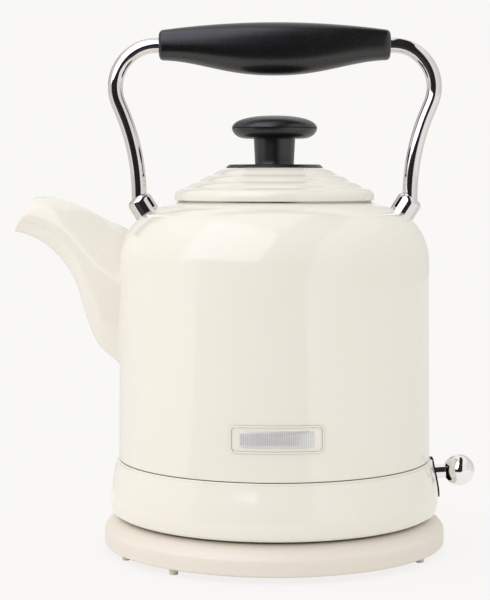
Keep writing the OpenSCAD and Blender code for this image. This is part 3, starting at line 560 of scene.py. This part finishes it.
def spout_grid(inset, rows=49, columns=72, flare=1.6):
    """Oval rings: middle + up * half_height * sin a, y = half_width * cos a, eased onto the wall."""
    t = np.linspace(0, 1, rows) ** 1.15
    back = on_line(back_line, t)
    belly = np.where(t[:, None] < 0.5, on_line(belly_line, np.clip(2 * t, 0, 1)),
                     on_line(beak_line, np.clip(2 * t - 1, 0, 1)))
    middle, half = (back + belly) / 2, (back - belly) / 2
    run = np.concatenate([[0], np.cumsum(np.linalg.norm(np.diff(middle, axis=0), axis=1))])
    swell = flare * (1 - np.clip(run / (2.2 * flare), 0, 1)) ** 2
    height = np.linalg.norm(half, axis=1) - inset + swell
    width = root_half_w - narrowing * t - inset + swell
    angle = around(columns)
    way = unit(half)
    x = middle[:, :1] + way[:, :1] * height[:, None] * np.sin(angle)
    z = middle[:, 1:] + way[:, 1:] * height[:, None] * np.sin(angle)
    y = width[:, None] * np.cos(angle)
    on_wall = -np.sqrt(np.maximum((wall_at(z) - 0.15) ** 2 - y ** 2, 0))
    ease = (1 - np.clip(run / 16, 0, 1)[:, None]) ** 2
    return np.stack([x + ease * (on_wall - x), y, z], axis=-1)


outer, inner = spout_grid(0), spout_grid(sheet)
lip_edge = (outer[-1] + inner[-1]) / 2 + 0.35 * unit(outer[-1] - outer[-2])
spout_rows = np.concatenate([outer, lip_edge[None], inner[::-1]])
spout = shell("enamel_spout", spout_rows, [enamel, steel], bands=[len(outer) + 8], sharp=60)
fit(spout, "kettle", "cream_enamel", "spout")

# %% [markdown]
# ## The skirt
# The skirt hides the heater. It starts just below the body with an open seam, swells out by 4 mm and rolls
# in at its foot. Two cubic curves give that side, and the same curves moved inwards by the sheet's
# thickness give the inside. A window for the switch lever is cut through it.


# %% Skirt
def moved_in(curve, distance):
    """The curve moved sideways by `distance`, along its own normal (the tangent turned by 90 degrees)."""
    tangent = unit(np.gradient(curve, axis=0))
    return curve + distance * np.stack([tangent[:, 1], -tangent[:, 0]], axis=1)


flange_r = body_r + 0.5
flange_in, foot_in, roll_r = body_r - 5, body_r - 0.7, skirt_r - 2.8
widest_z = seam_z - 20.2
swell_side = bezier([(flange_r, seam_z), (flange_r + 0.35, seam_z - 4.5),
                     (skirt_r - 0.1, seam_z - 13), (skirt_r, widest_z)], 26)
foot_side = bezier([(skirt_r, widest_z), (skirt_r, widest_z - 4),
                    (skirt_r - 0.8, foot_z + 0.7), (roll_r, foot_z)], 14)
skirt_side = np.concatenate([swell_side, foot_side[1:]])
skirt_in = moved_in(skirt_side, -sheet)
keep = (skirt_in[:, 1] < seam_z - sheet) & (skirt_in[:, 1] > foot_z + sheet)
skirt_corners = [(flange_in, seam_z, 0.2), (flange_r, seam_z, 0.55), *skirt_side[2:-1], (roll_r, foot_z, 0.2),
                 (foot_in, foot_z, 0.3), (foot_in, foot_z + sheet, 0.3), *skirt_in[keep][::-1],
                 (flange_r - sheet, seam_z - sheet, 0.3), (flange_in, seam_z - sheet, 0.2)]
skirt = turned("enamel_skirt", filled(rounded(skirt_corners), 2.0), [enamel], columns=224)

window_z, window_h = seam_z - 11.2, 15.6
window = prism("window_cutter", slot_outline(4.6, window_h / 2, 1), 18,
               ([flange_in, 0, window_z], [0, 1, 0], [0, 0, 1], [1, 0, 0]), [enamel])
carve(skirt, window)
fit(skirt, "kettle", "cream_enamel", "skirt")

# %% [markdown]
# ## The power base
# The base is a moulded cover: a short upright rim, a convex bevel, a flat ridge that the kettle stands on
# and a shallow dish round the tower. It is plastic, so its edges are rounder than those of the steel. A
# notch at the back holds the gland for the cord.

# %% Base cover
rim_top, ridge_r, hole_r, wall = base_clear + 7.5, base_r - 9.3, 24.5, 2.4
dish_z = base_h - 2
bevel = bezier([(base_r, rim_top), (base_r - 0.1, rim_top + 1.6), (base_r - 4.8, base_h - 0.7),
                (ridge_r, base_h)], 16)
inside = bevel - [wall, 1.7]
cover_corners = [(base_r, base_clear, 0.9), *bevel[:-1], (ridge_r, base_h, 0.3), (base_r - 15.7, base_h, 0.8),
                 (base_r - 16.3, dish_z, 0.8), (hole_r, dish_z, 0.3), (hole_r, dish_z - wall),
                 (base_r - 17.3, dish_z - wall, 0.5), (base_r - 11.7, base_h - wall, 0.5),
                 *inside[::-1][1:], (base_r - wall, base_clear, 0.4)]
cover = turned("plastic_base_cover", filled(rounded(cover_corners), 3.0), [base_plastic], columns=224)
gland_low, gland_high = box("cord_gland")
notch_w, notch_h = 6.2, gland_high[2] - base_clear + 2.1
notch_at = [0, gland_low[1] - 0.15, gland_high[2] + 0.1 - notch_h / 2]
notch = prism("notch_cutter", slot_outline(notch_w, notch_h / 2, 0.8), 20,
              (notch_at, [1, 0, 0], [0, 0, 1], [0, 1, 0]), [base_plastic])
carve(cover, notch)
fit(cover, "power_base", "cream_plastic", "base_cover")

# %% [markdown]
# ## The lid
# Three soft ribs run round the lid between its flat top and its rolled rim. Their height follows the
# sine of the distance down the slope, taken without its sign and eased so that the valleys are round, as
# a press leaves them.

# %% Lid shell
lid_r, _, lid_top = round_box("lid_shell")
bore_r, rolled_r, hem_z = 2.2, lid_r - 1.5, neck_z + 0.6
rib_foot, rib_head = np.array([lid_r - 5.8, neck_z + 7.2]), np.array([26.0, lid_top])
s = np.linspace(0, 1, 61)[:, None]
down = rib_foot - rib_head
outward = unit(np.array([-down[1], down[0]]))
wave = np.sqrt(np.sin(3 * np.pi * s) ** 2 + 0.06) - 0.06 ** 0.5
ribs = rib_head + s * down + 0.6 * wave * outward
rim = bezier([rib_foot + [0.2, 0], rib_foot + [3.5, -0.3],
              (lid_r, rib_foot[1] - 1.8), (lid_r, neck_z + 2.8)], 14)
lid_corners = [(bore_r, lid_top), *ribs, *rim, (lid_r, neck_z + 1.5), (lid_r - 0.1, neck_z + 0.9, 0.3),
               (lid_r - 0.6, hem_z, 0.3), (rolled_r, hem_z, 0.2), (rolled_r, neck_z + 2.4, 0.3),
               (rib_foot[0], rib_foot[1] - 1.4, 0.5), (24, lid_top - sheet, 0.5), (bore_r, lid_top - sheet)]
lid = turned("enamel_lid", filled(rounded(lid_corners), 3.0), [enamel], columns=192, sharp=50)
fit(lid, "lid", "cream_enamel", "lid_shell")

# %% [markdown]
# ## The knob
# The knob is three black mouldings: a thin plate on the lid, a stem that opens into a saucer, and a domed
# cap. The cap meets the saucer in a fine parting line just below its widest point.

# %% Knob plate, body and cap
knob_r, _, parting = round_box("knob_body")
plate_r, _, plug_z = round_box("knob_plate")
plate_corners = [(bore_r, lid_top), (plate_r, lid_top, 0.2), (plate_r - 0.1, lid_top + 0.5, 0.3),
                 (plate_r - 1.6, plug_z, 0.9), (bore_r, plug_z)]
knob_plate = turned("knob_plate_moulding", filled(rounded(plate_corners), 3.0), [knob_plastic], columns=128)
fit(knob_plate, "lid", "black_plastic", "knob_plate")

stem_r, saucer_z, joint_r = 10.3, parting - 5.4, knob_r - 0.9
saucer = bezier([(knob_r * 0.66, saucer_z), (knob_r * 0.88, saucer_z + 0.1),
                 (knob_r - 0.5, parting - 2.6), (knob_r - 0.02, parting - 0.15)], 20)
body_corners = [(0, plug_z), (stem_r + 0.1, plug_z), (stem_r, plug_z + 0.2), (stem_r + 0.65, saucer_z, 0.5),
                *saucer, (knob_r - 0.35, parting - 0.05, 0.1), (joint_r, parting), (0, parting)]
knob = turned("knob_stem_and_saucer", filled(rounded(body_corners), 2.5), [knob_plastic],
              columns=128, loop=False)
fit(knob, "lid", "black_plastic", "knob_body")

cap_top = box("knob_cap")[1][2]
dome = bezier([(knob_r, parting + 0.2), (knob_r - 0.5, parting + 3.4),
               (knob_r * 0.74, cap_top), (0, cap_top)], 40)
cap_corners = [(0, parting), (joint_r, parting), (knob_r - 0.35, parting + 0.05, 0.1), *dome]
cap = turned("knob_cap_moulding", rounded(cap_corners), [knob_plastic], columns=128, loop=False)
fit(cap, "lid", "black_plastic", "knob_cap")

# %% [markdown]
# ## The handle
# Each side of the handle is a chromed tube: it stands up out of its collar, leans outwards in a slow bend
# and turns in a tight bend into the end of the grip. A tube is a circle carried along a path. The circle
# stays square to the path because its two directions are the path's normal, which lies in the plane of the
# bends, and the constant sideways direction.


# %% Tubes along a path
def tube(name, path, radius, finishes, columns=48):
    """Circle carried along (x, z) points: point + radius (cos a * normal + sin a * sideways)."""
    tangent = unit(np.gradient(path, axis=0))
    angle = around(columns)
    across = radius * np.cos(angle)
    x = path[:, :1] + tangent[:, 1:] * across
    z = path[:, 1:] - tangent[:, :1] * across
    y = np.broadcast_to(radius * np.sin(angle), x.shape)
    return shell(name, np.stack([x, y, z], axis=-1), finishes, loop=False)


def arc(centre, radius, start, end, count):
    """Points on a circle's arc, from one angle to another, in degrees."""
    a = np.radians(np.linspace(start, end, count))[:, None]
    return np.array(centre) + radius * np.concatenate([np.cos(a), np.sin(a)], axis=1)


grip_l = box("handle_grip")[1][0]
arm_low, arm_high = box("lever_side_arm")
tube_r, slow_r, tight_r, lean = 4.0, 115, 22, 22.5
arm_z = arm_high[2] - tube_r
collar_angle = math.radians(57.5)
collar_way = np.array([math.cos(collar_angle), 0, math.sin(collar_angle)])
collar_foot = np.array([wall_top_r - shoulder_r, 0, shoulder_z]) + shoulder_r * collar_way
arm_x, bend_z = collar_foot[0] + 7.6 * collar_way[0], collar_foot[2] + 8.9
slow = arc((arm_x + slow_r, bend_z), slow_r, 180, 180 - lean, 24)
tight = arc((grip_l + 1.3, arm_z - tight_r), tight_r, -lean, 90, 44)
arm_path = np.concatenate([[[arm_x, arm_low[2]], [arm_x, bend_z - 2]], slow, tight,
                           [[grip_l, arm_z], [grip_l - 19, arm_z]]])
arm_path = filled(apart(arm_path), 2.2, loop=False)

for side, node in ((1, "lever_side_arm"), (-1, "spout_side_arm")):
    arm = tube("chrome_" + node, arm_path * [side, 1], tube_r, [chrome])
    fit(arm, "kettle", "chrome", node)

# %% [markdown]
# ## The collars
# Each tube ends in a chromed collar, bolted through the shoulder from inside. A real collar's foot is
# milled to the curve that it stands on, so that no light shows under it. Its lowest rings are therefore
# pushed down their own axis until they meet the shoulder, which here is a ring-shaped surface: every point
# is 30 mm from a circle inside the body.


# %% Collars with a fitted foot
def above_shoulder(points):
    """Height of points above the shoulder: their distance from the arc's centre circle, less its radius."""
    reach = np.hypot(points[..., 0], points[..., 1]) - (wall_top_r - shoulder_r)
    return np.hypot(reach, points[..., 2] - shoulder_z) - shoulder_r


collar_r, collar_h, sunk = box("lever_side_collar")[1][1], 9.6, -3


def collar(name, side):
    """A turned collar; the rings below 1 mm are brought to 0.03 mm above the shoulder, in four steps."""
    corners = [(0, sunk), (collar_r, sunk), (collar_r, collar_h, 3), (0, collar_h)]
    outline = filled(rounded(corners, steps=10), 1.2)[1:]
    low = outline[:, 1:] < 1.0
    way, foot = collar_way * [side, 1, 1], collar_foot * [side, 1, 1]
    placed = stood(rings(outline, 96), foot, way)
    for _ in range(4):
        placed = np.where(low[..., None], placed - way * (above_shoulder(placed)[..., None] - 0.03), placed)
    return shell(name, placed, [chrome], loop=False, sharp=30)


for side, node in ((1, "lever_side_collar"), (-1, "spout_side_collar")):
    fit(collar("chrome_" + node, side), "kettle", "chrome", node)

# %% [markdown]
# ## The grip
# The grip is a satin black moulding. Its back rises in a shallow arch, its belly drops further in the
# middle to fill the hand, and it is widest there. Each section is an oval whose upper and lower halves
# have their own height, and the ends are rounded by shrinking the last few sections along a quarter circle.

# %% Grip
end_half, edge = 7.8, 2.2
turn_in = np.radians(np.linspace(0, 90, 8))
middle_u = np.linspace(-1, 1, 61) * (1 - edge / grip_l)
end_u, end_in = 1 - edge * (1 - np.sin(turn_in)) / grip_l, edge * (1 - np.cos(turn_in))
u = np.concatenate([-end_u[::-1], middle_u[1:-1], end_u])[:, None]
shrink = np.concatenate([end_in[::-1], 0 * middle_u[1:-1], end_in])[:, None]
angle = around(72)
back = end_half + 4.1 * (1 - u ** 2) - shrink
belly = end_half + 8 * (1 + np.cos(np.pi * np.abs(u) ** 1.15)) / 2 - shrink
half_w = end_half + 4.7 * (1 - u ** 2) - shrink
tall = np.where(np.sin(angle) > 0, back, belly)
full = np.where(np.sin(angle) > 0, 2 / 3.1, 2 / 2.1)
across, up = (np.sign(wave) * np.abs(wave) ** full for wave in (np.cos(angle), np.sin(angle)))
grid = np.stack([u * grip_l + 0 * angle, half_w * across, arm_z + tall * up], axis=-1)
grip = shell("black_handle_grip", grid, [black_plastic], loop=False, sharp=50)
fit(grip, "kettle", "black_plastic", "handle_grip")

# %% [markdown]
# ## The switch
# A black plate frames the slot that the lever comes out of. It is bent to the skirt, so both its outline
# and its slot are drawn flat and then wrapped: sideways distance becomes an angle, and the skirt's own
# outline gives the radius at each height. The lever is a chromed rod with a ball.


# %% Switch plate wrapped on the skirt
def skirt_at(z):
    """Outside radius of the skirt at height z, read off its own side curve."""
    return np.interp(z, skirt_side[::-1, 1], skirt_side[::-1, 0])


def ray(half_w, half_h, radius):
    """Rounded rectangle read at even angles, so that two of them can be joined point to point."""
    line = filled(slot_outline(half_w, half_h, radius, 12), 0.1)
    bearing = np.arctan2(line[:, 1], line[:, 0]) % (2 * np.pi)
    order = np.argsort(bearing)
    pick = [np.interp(around(96), bearing[order], line[order, k], period=2 * np.pi) for k in (0, 1)]
    return np.stack(pick, axis=1)


def wrapped(rows, middle, radius_at, round_r, start=0.0):
    """Rings on a round wall from (half width, half height, corner radius, lift) rows, drawn flat about
    `middle`: sideways / round_r becomes the angle, radius_at(height) + lift the radius."""
    grid = []
    for half_w, half_h, radius, lift in rows:
        flat = ray(half_w, half_h, radius) + middle
        a, r = start + flat[:, 0] / round_r, radius_at(flat[:, 1]) + lift
        grid.append(np.stack([r * np.cos(a), r * np.sin(a), flat[:, 1]], axis=-1))
    return np.stack(grid)


plate_low, plate_high = box("switch_plate")
plate_mid, plate_h = (plate_low[2] + plate_high[2]) / 2, (plate_high[2] - plate_low[2]) / 2
slot_mid, slot_h = seam_z - 10.9, 7.9
frame_rows = [(7.0, plate_h, 4, 0.02), (7.0, plate_h, 4, 1.5), (6.9, plate_h - 0.1, 3.95, 1.68),
              (6.6, plate_h - 0.4, 3.7, 1.75)]
slot_rows = [(4.6, slot_h + 0.4, 1.6, 1.75), (4.25, slot_h + 0.1, 1.4, 1.6), (4.15, slot_h, 1.3, 0.7),
             (4.15, slot_h, 1.3, -0.9), (4.4, slot_h + 0.2, 1.4, -0.9), (4.4, slot_h + 0.2, 1.4, 0.02)]
plate_grid = np.concatenate([wrapped(frame_rows, [0, plate_mid], skirt_at, skirt_r),
                             wrapped(slot_rows, [0, slot_mid], skirt_at, skirt_r)])
switch_plate = shell("black_switch_plate", plate_grid, [switch_plastic], sharp=60)
fit(switch_plate, "kettle", "black_plastic", "switch_plate")

# %% Lever rod and ball
ball_high = box("lever_ball")[1]
ball_r, rod_r = ball_high[1], 3.75
ball_centre = np.array([ball_high[0] - ball_r, 0, sum(box("lever_ball"))[2] / 2])
reach_x, _, reach_z = ball_centre - sum(box("lever_pin")) / 2
tilt = math.atan2(reach_z, reach_x)
rod_back = (box("lever_rod")[0][0] - ball_centre[0]) / math.cos(tilt) + 0.25
lever_way = np.array([math.cos(tilt), 0, math.sin(tilt)])
rod_corners = [(0, rod_back), (rod_r, rod_back, 0.3), (rod_r, -2.05, 0.2), (0, -2.05)]
rod = turned("chrome_lever_rod", filled(rounded(rod_corners), 2)[1:], [bright_chrome], columns=64,
             loop=False, foot=ball_centre, along=lever_way)
fit(rod, "switch_lever", "chrome", "lever_rod")

neck = math.degrees(math.asin((rod_r + 0.25) / ball_r)) - 90
socket_r = rod_r + 0.05
ball_outline = np.concatenate([[[socket_r, -2], [socket_r, -6.6]],
                               arc((0, 0), ball_r, neck, 90, 60), [[0, -2]]])
ball = turned("chrome_lever_ball", ball_outline, [bright_chrome], columns=96,
              foot=ball_centre, along=lever_way)
fit(ball, "switch_lever", "chrome", "lever_ball")

# %% [markdown]
# ## The trip spring
# Inside, the lever's other end tips a small rocker, and the rocker's nose presses a coil spring. The spring
# is a circle carried up a helix. It can't ride on the rocker, because its foot stays on the control, so it
# rides on the kettle.


# %% Coil spring
def coil(name, foot, radius, wire_r, height, turns, finishes):
    """Wire round a rising circle: (out cos a, out sin a, rise), with out = radius + wire cos b
    and rise = height a / a_end + wire sin b."""
    a = np.linspace(0, 2 * np.pi * turns, 24 * turns + 1)[:, None]
    b = around(12)
    out = radius + wire_r * np.cos(b)
    rise = height * a / a[-1] + wire_r * np.sin(b)
    grid = foot + np.stack([out * np.cos(a), out * np.sin(a), rise], axis=-1)
    return shell(name, grid, finishes, loop=False, sharp=60)


spring_low, spring_high = box("trip_spring")
wire_r = 0.35
spring_size = spring_high - spring_low
spring_foot = np.array([(spring_low[0] + spring_high[0]) / 2, 0, spring_low[2] + wire_r])
spring = coil("steel_trip_spring", spring_foot, spring_size[1] / 2 - wire_r, wire_r,
              spring_size[2] - 2 * wire_r, 5, [zinc])
fit(spring, "kettle", "steel", "trip_spring")
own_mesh(spring)

# %% [markdown]
# ## The nameplate
# Low on the front is a small badge. It stays unlettered: a raised enamel border with rounded corners round
# a plain silver plate with fine upright reeding. The border's steep flanks are greyer, as painted shade for
# the dark lines round a raised border. Both are drawn flat and wrapped onto the round wall.

# %% Nameplate
badge_at, front = [1.4, 69.75], -np.pi / 2
# The border's steep flanks get a greyer colour than the enamel: painted shade for the dark lines round a
# raised border.
flank_painted_shade = Finish("badge_edge_painted_shade", IOR=1.5)
flank_painted_shade.colour(flank_painted_shade.noise(1.2, 2), (168, 165, 159), (148, 145, 140))
flank_painted_shade.roughness(0.25 + 0.1 * flank_painted_shade.noise(3))
border_rows = [(23.5, 6.95, 2.3, -0.05), (23.35, 6.8, 2.2, 0.5), (23.1, 6.55, 2.0, 0.65),
               (22.8, 6.25, 1.8, 0.65), (22.55, 6.0, 1.6, 0.5), (22.4, 5.85, 1.5, -0.05)]
border = shell("enamel_badge_border", wrapped(border_rows, badge_at, wall_at, body_r, front),
               [flank_painted_shade, enamel, flank_painted_shade], bands=(1, 4), sharp=60)
fit(border, "kettle", "cream_enamel")

silver = Finish("reeded_silver_plate", Metallic=0.4)
wave_period, reed = 0.314, 0.9 * MM  # the wave node's own period at scale 1, in metres, and one reed's
reeds = silver.node("TexWave", {"bands_direction": "X", "wave_profile": "SIN"},
                    {"Vector": silver.place, "Scale": wave_period / reed})
silver.colour(reeds, (231, 230, 229), (207, 206, 206))
silver.roughness(0.3 + 0.15 * silver.noise(3, 2))
silver.bump(reeds, 0.03, 0.5)
name_rows = [(0.02, 0.02, 0.005, -0.05), (18.2, 4.1, 0.8, -0.05), (18.2, 4.1, 0.8, 0.3),
             (18.0, 3.9, 0.7, 0.42), (9.0, 2.0, 0.4, 0.42), (0.02, 0.02, 0.005, 0.42)]
nameplate = shell("plain_nameplate", wrapped(name_rows, badge_at, wall_at, body_r, front),
                  [silver], sharp=60)
fit(nameplate, "kettle", "steel")

# %% [markdown]
# ## The other parts
# The rest of the kettle is seen when it is lifted, opened or turned over: seals, screws, the heater, the
# control and its contacts. Their solid shapes are right, so they stay. Each gets the finish of what it is
# made of, with lines or grain from its nodes.

# %% Finishes for the solid parts
finish_of = {
    under_plastic: ["base_underside", "cord_gland", "underside_cover", "filter_frame"],
    rubber: ["base_foot_ring", "floor_seal", "steam_tube_seal", "handle_seals", "lid_seal"],
    base_plastic: ["base_rim_feet"],
    control_plastic: ["base_socket", "control_housing", "lever_hub", "lever_bracket"],
    brass: ["base_live_contact", "base_neutral_contact", "base_earth_contact", "kettle_live_ring",
            "kettle_neutral_ring", "kettle_earth_pin"],
    zinc: ["base_screws", "control_screws", "underside_screws", "handle_bolts", "handle_nuts", "knob_screw",
           "knob_washer", "trip_pin", "lever_pin"],
    steel: ["vessel_floor", "floor_posts", "steam_tube", "lid_liner", "filter_mesh"],
    aluminium: ["heat_plate"],
    sheath: ["heating_element"],
    bimetal: ["bimetal_discs"],
    ivory_plastic: ["trip_rocker"],
}
for finish, nodes in finish_of.items():
    for node in nodes:
        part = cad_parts[node]
        part.data.materials.clear()
        part.data.materials.append(finish.material)
print(sum(len(nodes) for nodes in finish_of.values()), "solid parts finished")

# %% [markdown]
# ## The studio
# Chrome and gloss show the room more than themselves, so the room is part of the picture. The world is pale
# all round, and it and two softboxes light the kettle. What the gloss shows is built from panels that the
# camera and the shadows never see: dark cloths in front and in the gaps overhead put the dark bands down
# the tubes, grey screens and ground sheets stand and lie left and right, and one bright panel hangs high
# on the left. A panel for each band is easier to place than a lamp, because a lamp also changes how light
# the enamel is.

# %% World
pale = paint(249, 248, 246)
world = bpy.data.worlds.new("pale_studio")
bpy.context.scene.world = world
world.use_nodes = True
world.node_tree.nodes.clear()


def seen_rays(graph):
    """1 for a ray that brings a picture: to the eye, off gloss or through glass. 0 for one that lights."""
    names = [f"Is {kind} Ray" for kind in ("Camera", "Glossy", "Transmission")]
    seen, glossy, through = graph.outputs("LightPath", names)
    return seen.most(glossy).most(through)


sky = Graph(world.node_tree)
felt = sky.node("Background", {}, {"Color": (1, 0.995, 0.99, 1), "Strength": 0.9})
seen = sky.node("Background", {}, {"Color": pale, "Strength": 1.0})
sky.node("OutputWorld", {}, {0: sky.node("MixShader", {}, {0: seen_rays(sky), 1: felt, 2: seen})}, None)
print("world made")


# %% Reflected panels, floor and softboxes
middle = np.array([0, 0, 0.12])


def sheet_of_studio(name, grid, finish, hidden=True):
    """A stage surface from an open (rows, columns, 3) grid, in metres. Hidden ones only reflect."""
    rows, columns, _ = grid.shape
    faces = quads(rows, columns, False).reshape(-1, columns, 4)[:, :-1].reshape(-1, 4)
    made = meshed(name, grid, faces, [finish])
    if hidden:
        made.visible_camera = made.visible_diffuse = made.visible_shadow = False


def panel(name, angles, left, right, finish, distance=2.4):
    """Panel on a sphere round the kettle. Angles go over the top: 0 in front, 90 overhead, 180 behind.
    At each of them its left and right edges are given as sideways cosines, from -1 to 1."""
    t = np.linspace(angles[0], angles[-1], 40)[:, None]
    start, end = (np.interp(t, angles, edge) for edge in (left, right))
    x = start + (end - start) * np.linspace(0, 1, 24)
    reach, t = np.sqrt(1 - x ** 2), np.radians(t)
    direction = np.stack([x, -reach * np.cos(t), reach * np.sin(t)], axis=-1)
    sheet_of_studio(name, middle + distance * direction, finish)


def screen(name, round_to, up_to, finish, distance=2.5):
    """Upright panel between two azimuths (0 in front, 90 to the right) and two elevations, in degrees."""
    a = np.radians(np.linspace(*round_to, 40))[:, None]
    e = np.radians(np.linspace(*up_to, 12))
    direction = np.stack([np.sin(a) * np.cos(e), -np.cos(a) * np.cos(e), np.sin(e) + 0 * a], axis=-1)
    sheet_of_studio(name, middle + distance * direction, finish)


def ground(name, round_to, finish):
    """Ring sector that lies on the floor between two azimuths, in degrees."""
    a = np.radians(np.linspace(*round_to, 24))
    r = np.linspace(0.28, 2.4, 6)[:, None]
    lift = 0.0008
    sheet_of_studio(name, np.stack([r * np.sin(a), -r * np.cos(a), lift + 0 * a * r], -1), finish)


def glow(name, radiance, tint=(1, 0.99, 0.975, 1)):
    """Finish of a lit panel that gives off light and reflects none."""
    return Finish(name, Base_Color=(0, 0, 0, 1), Roughness=1.0,
                  Emission_Color=tint, Emission_Strength=radiance)


dark_cloth = Finish("dark_cloth", Roughness=0.95)
dark_cloth.colour(dark_cloth.noise(40), (34, 32, 33), (20, 18, 19))
panel("front_cloth", [-42, 16], [-0.84, -0.84], [0.39, 0.36], dark_cloth)
panel("gap_overhead_left", [0, 78], [-0.25, 0.05], [0.3, 0.3], dark_cloth, 2.2)
panel("gap_overhead_right", [0, 90, 118], [0.15, 0.15, 0.22], [0.43, 0.49, 0.38], dark_cloth, 0.92)
panel("bar_behind", [143, 156, 168], [-0.5, -0.72, -0.78], [0.0, -0.48, -0.6], dark_cloth)
for side, round_to, radiance in (("left", (-172, -57), 0.7), ("right", (24, 60), 0.88),
                                 ("far_right", (60, 105), 0.8), ("back_right", (105, 172), 0.7)):
    screen(side + "_screen", round_to, (-30, 40), glow(side + "_glow", radiance))
ground("dark_ground", (-58, 23), dark_cloth)
for side, round_to, radiance in (("left", (-172, -75), 0.72), ("right", (24, 90), 0.94),
                                 ("back_right", (90, 172), 0.77)):
    ground(side + "_ground", round_to, glow(side + "_ground_glow", radiance))
panel("key_reflection", [10, 14, 26, 60, 104], [-0.2, -0.6, -0.95, -0.85, -0.4],
      [-0.2, -0.2, -0.1, 0.05, -0.38], glow("key_glow", 2.15, (0.86, 0.85, 1, 1)), 2.0)

floor_finish = Finish("pale_floor", Roughness=0.9, Base_Color=paint(240, 239, 236))
distance = floor_finish.node("VectorMath", {"operation": "LENGTH"}, {0: floor_finish.place}, "Value")
fade = floor_finish.node("MapRange", {"interpolation_type": "SMOOTHSTEP"}, {
    "Value": distance, "From Min": 0.08, "From Max": 0.3, "To Min": 0.9, "To Max": 1.0})
lit = Wire(floor_finish, floor_finish.shader.outputs[0])
even = floor_finish.node("Emission", {}, {"Color": pale})
floor_mix = floor_finish.node("MixShader", {}, {0: seen_rays(floor_finish) * fade, 1: lit, 2: even})
floor_finish.plug(floor_finish.tree.nodes["Material Output"].inputs["Surface"], floor_mix)
span = np.linspace(-3, 3, 13)
floor_grid = np.stack(np.broadcast_arrays(span[None, :], span[:, None], 0.0), axis=-1)
sheet_of_studio("studio_floor", floor_grid, floor_finish, hidden=False)


def softbox(name, direction, distance, size, radiance, tint=(1, 1, 1)):
    """Square light that faces the kettle. Its power is radiance * pi * area."""
    light = bpy.data.lights.new(name, "AREA")
    light.shape, light.size, light.size_y = "RECTANGLE", *size
    light.energy, light.color = radiance * math.pi * size[0] * size[1], tint
    lamp = bpy.data.objects.new(name, light)
    away = Vector(direction).normalized()
    lamp.location = Vector(middle) + away * distance
    lamp.rotation_mode = "QUATERNION"
    lamp.rotation_quaternion = away.to_track_quat("Z", "Y")
    lamp.visible_camera = lamp.visible_glossy = False
    bpy.context.scene.collection.objects.link(lamp)


softbox("key_softbox", (-0.8, -0.4, 0.8), 1.3, (1.5, 1.6), 0.65, (1, 0.92, 0.95))
softbox("top_softbox", (-0.1, 0.05, 1.0), 1.3, (1.5, 1.6), 0.24, (1, 0.99, 0.98))
print("studio made")

# %% [markdown]
# ## Last settings
# The fine surfaces must not make the kettle bigger. The picture uses the Standard view transform, and
# `corners` turns a box's two corners into plain lists of numbers.

# %% Boxes and finish
bpy.context.scene.view_settings.view_transform = "Standard"


def corners(pair):
    return [[float(v) for v in corner] for corner in pair]
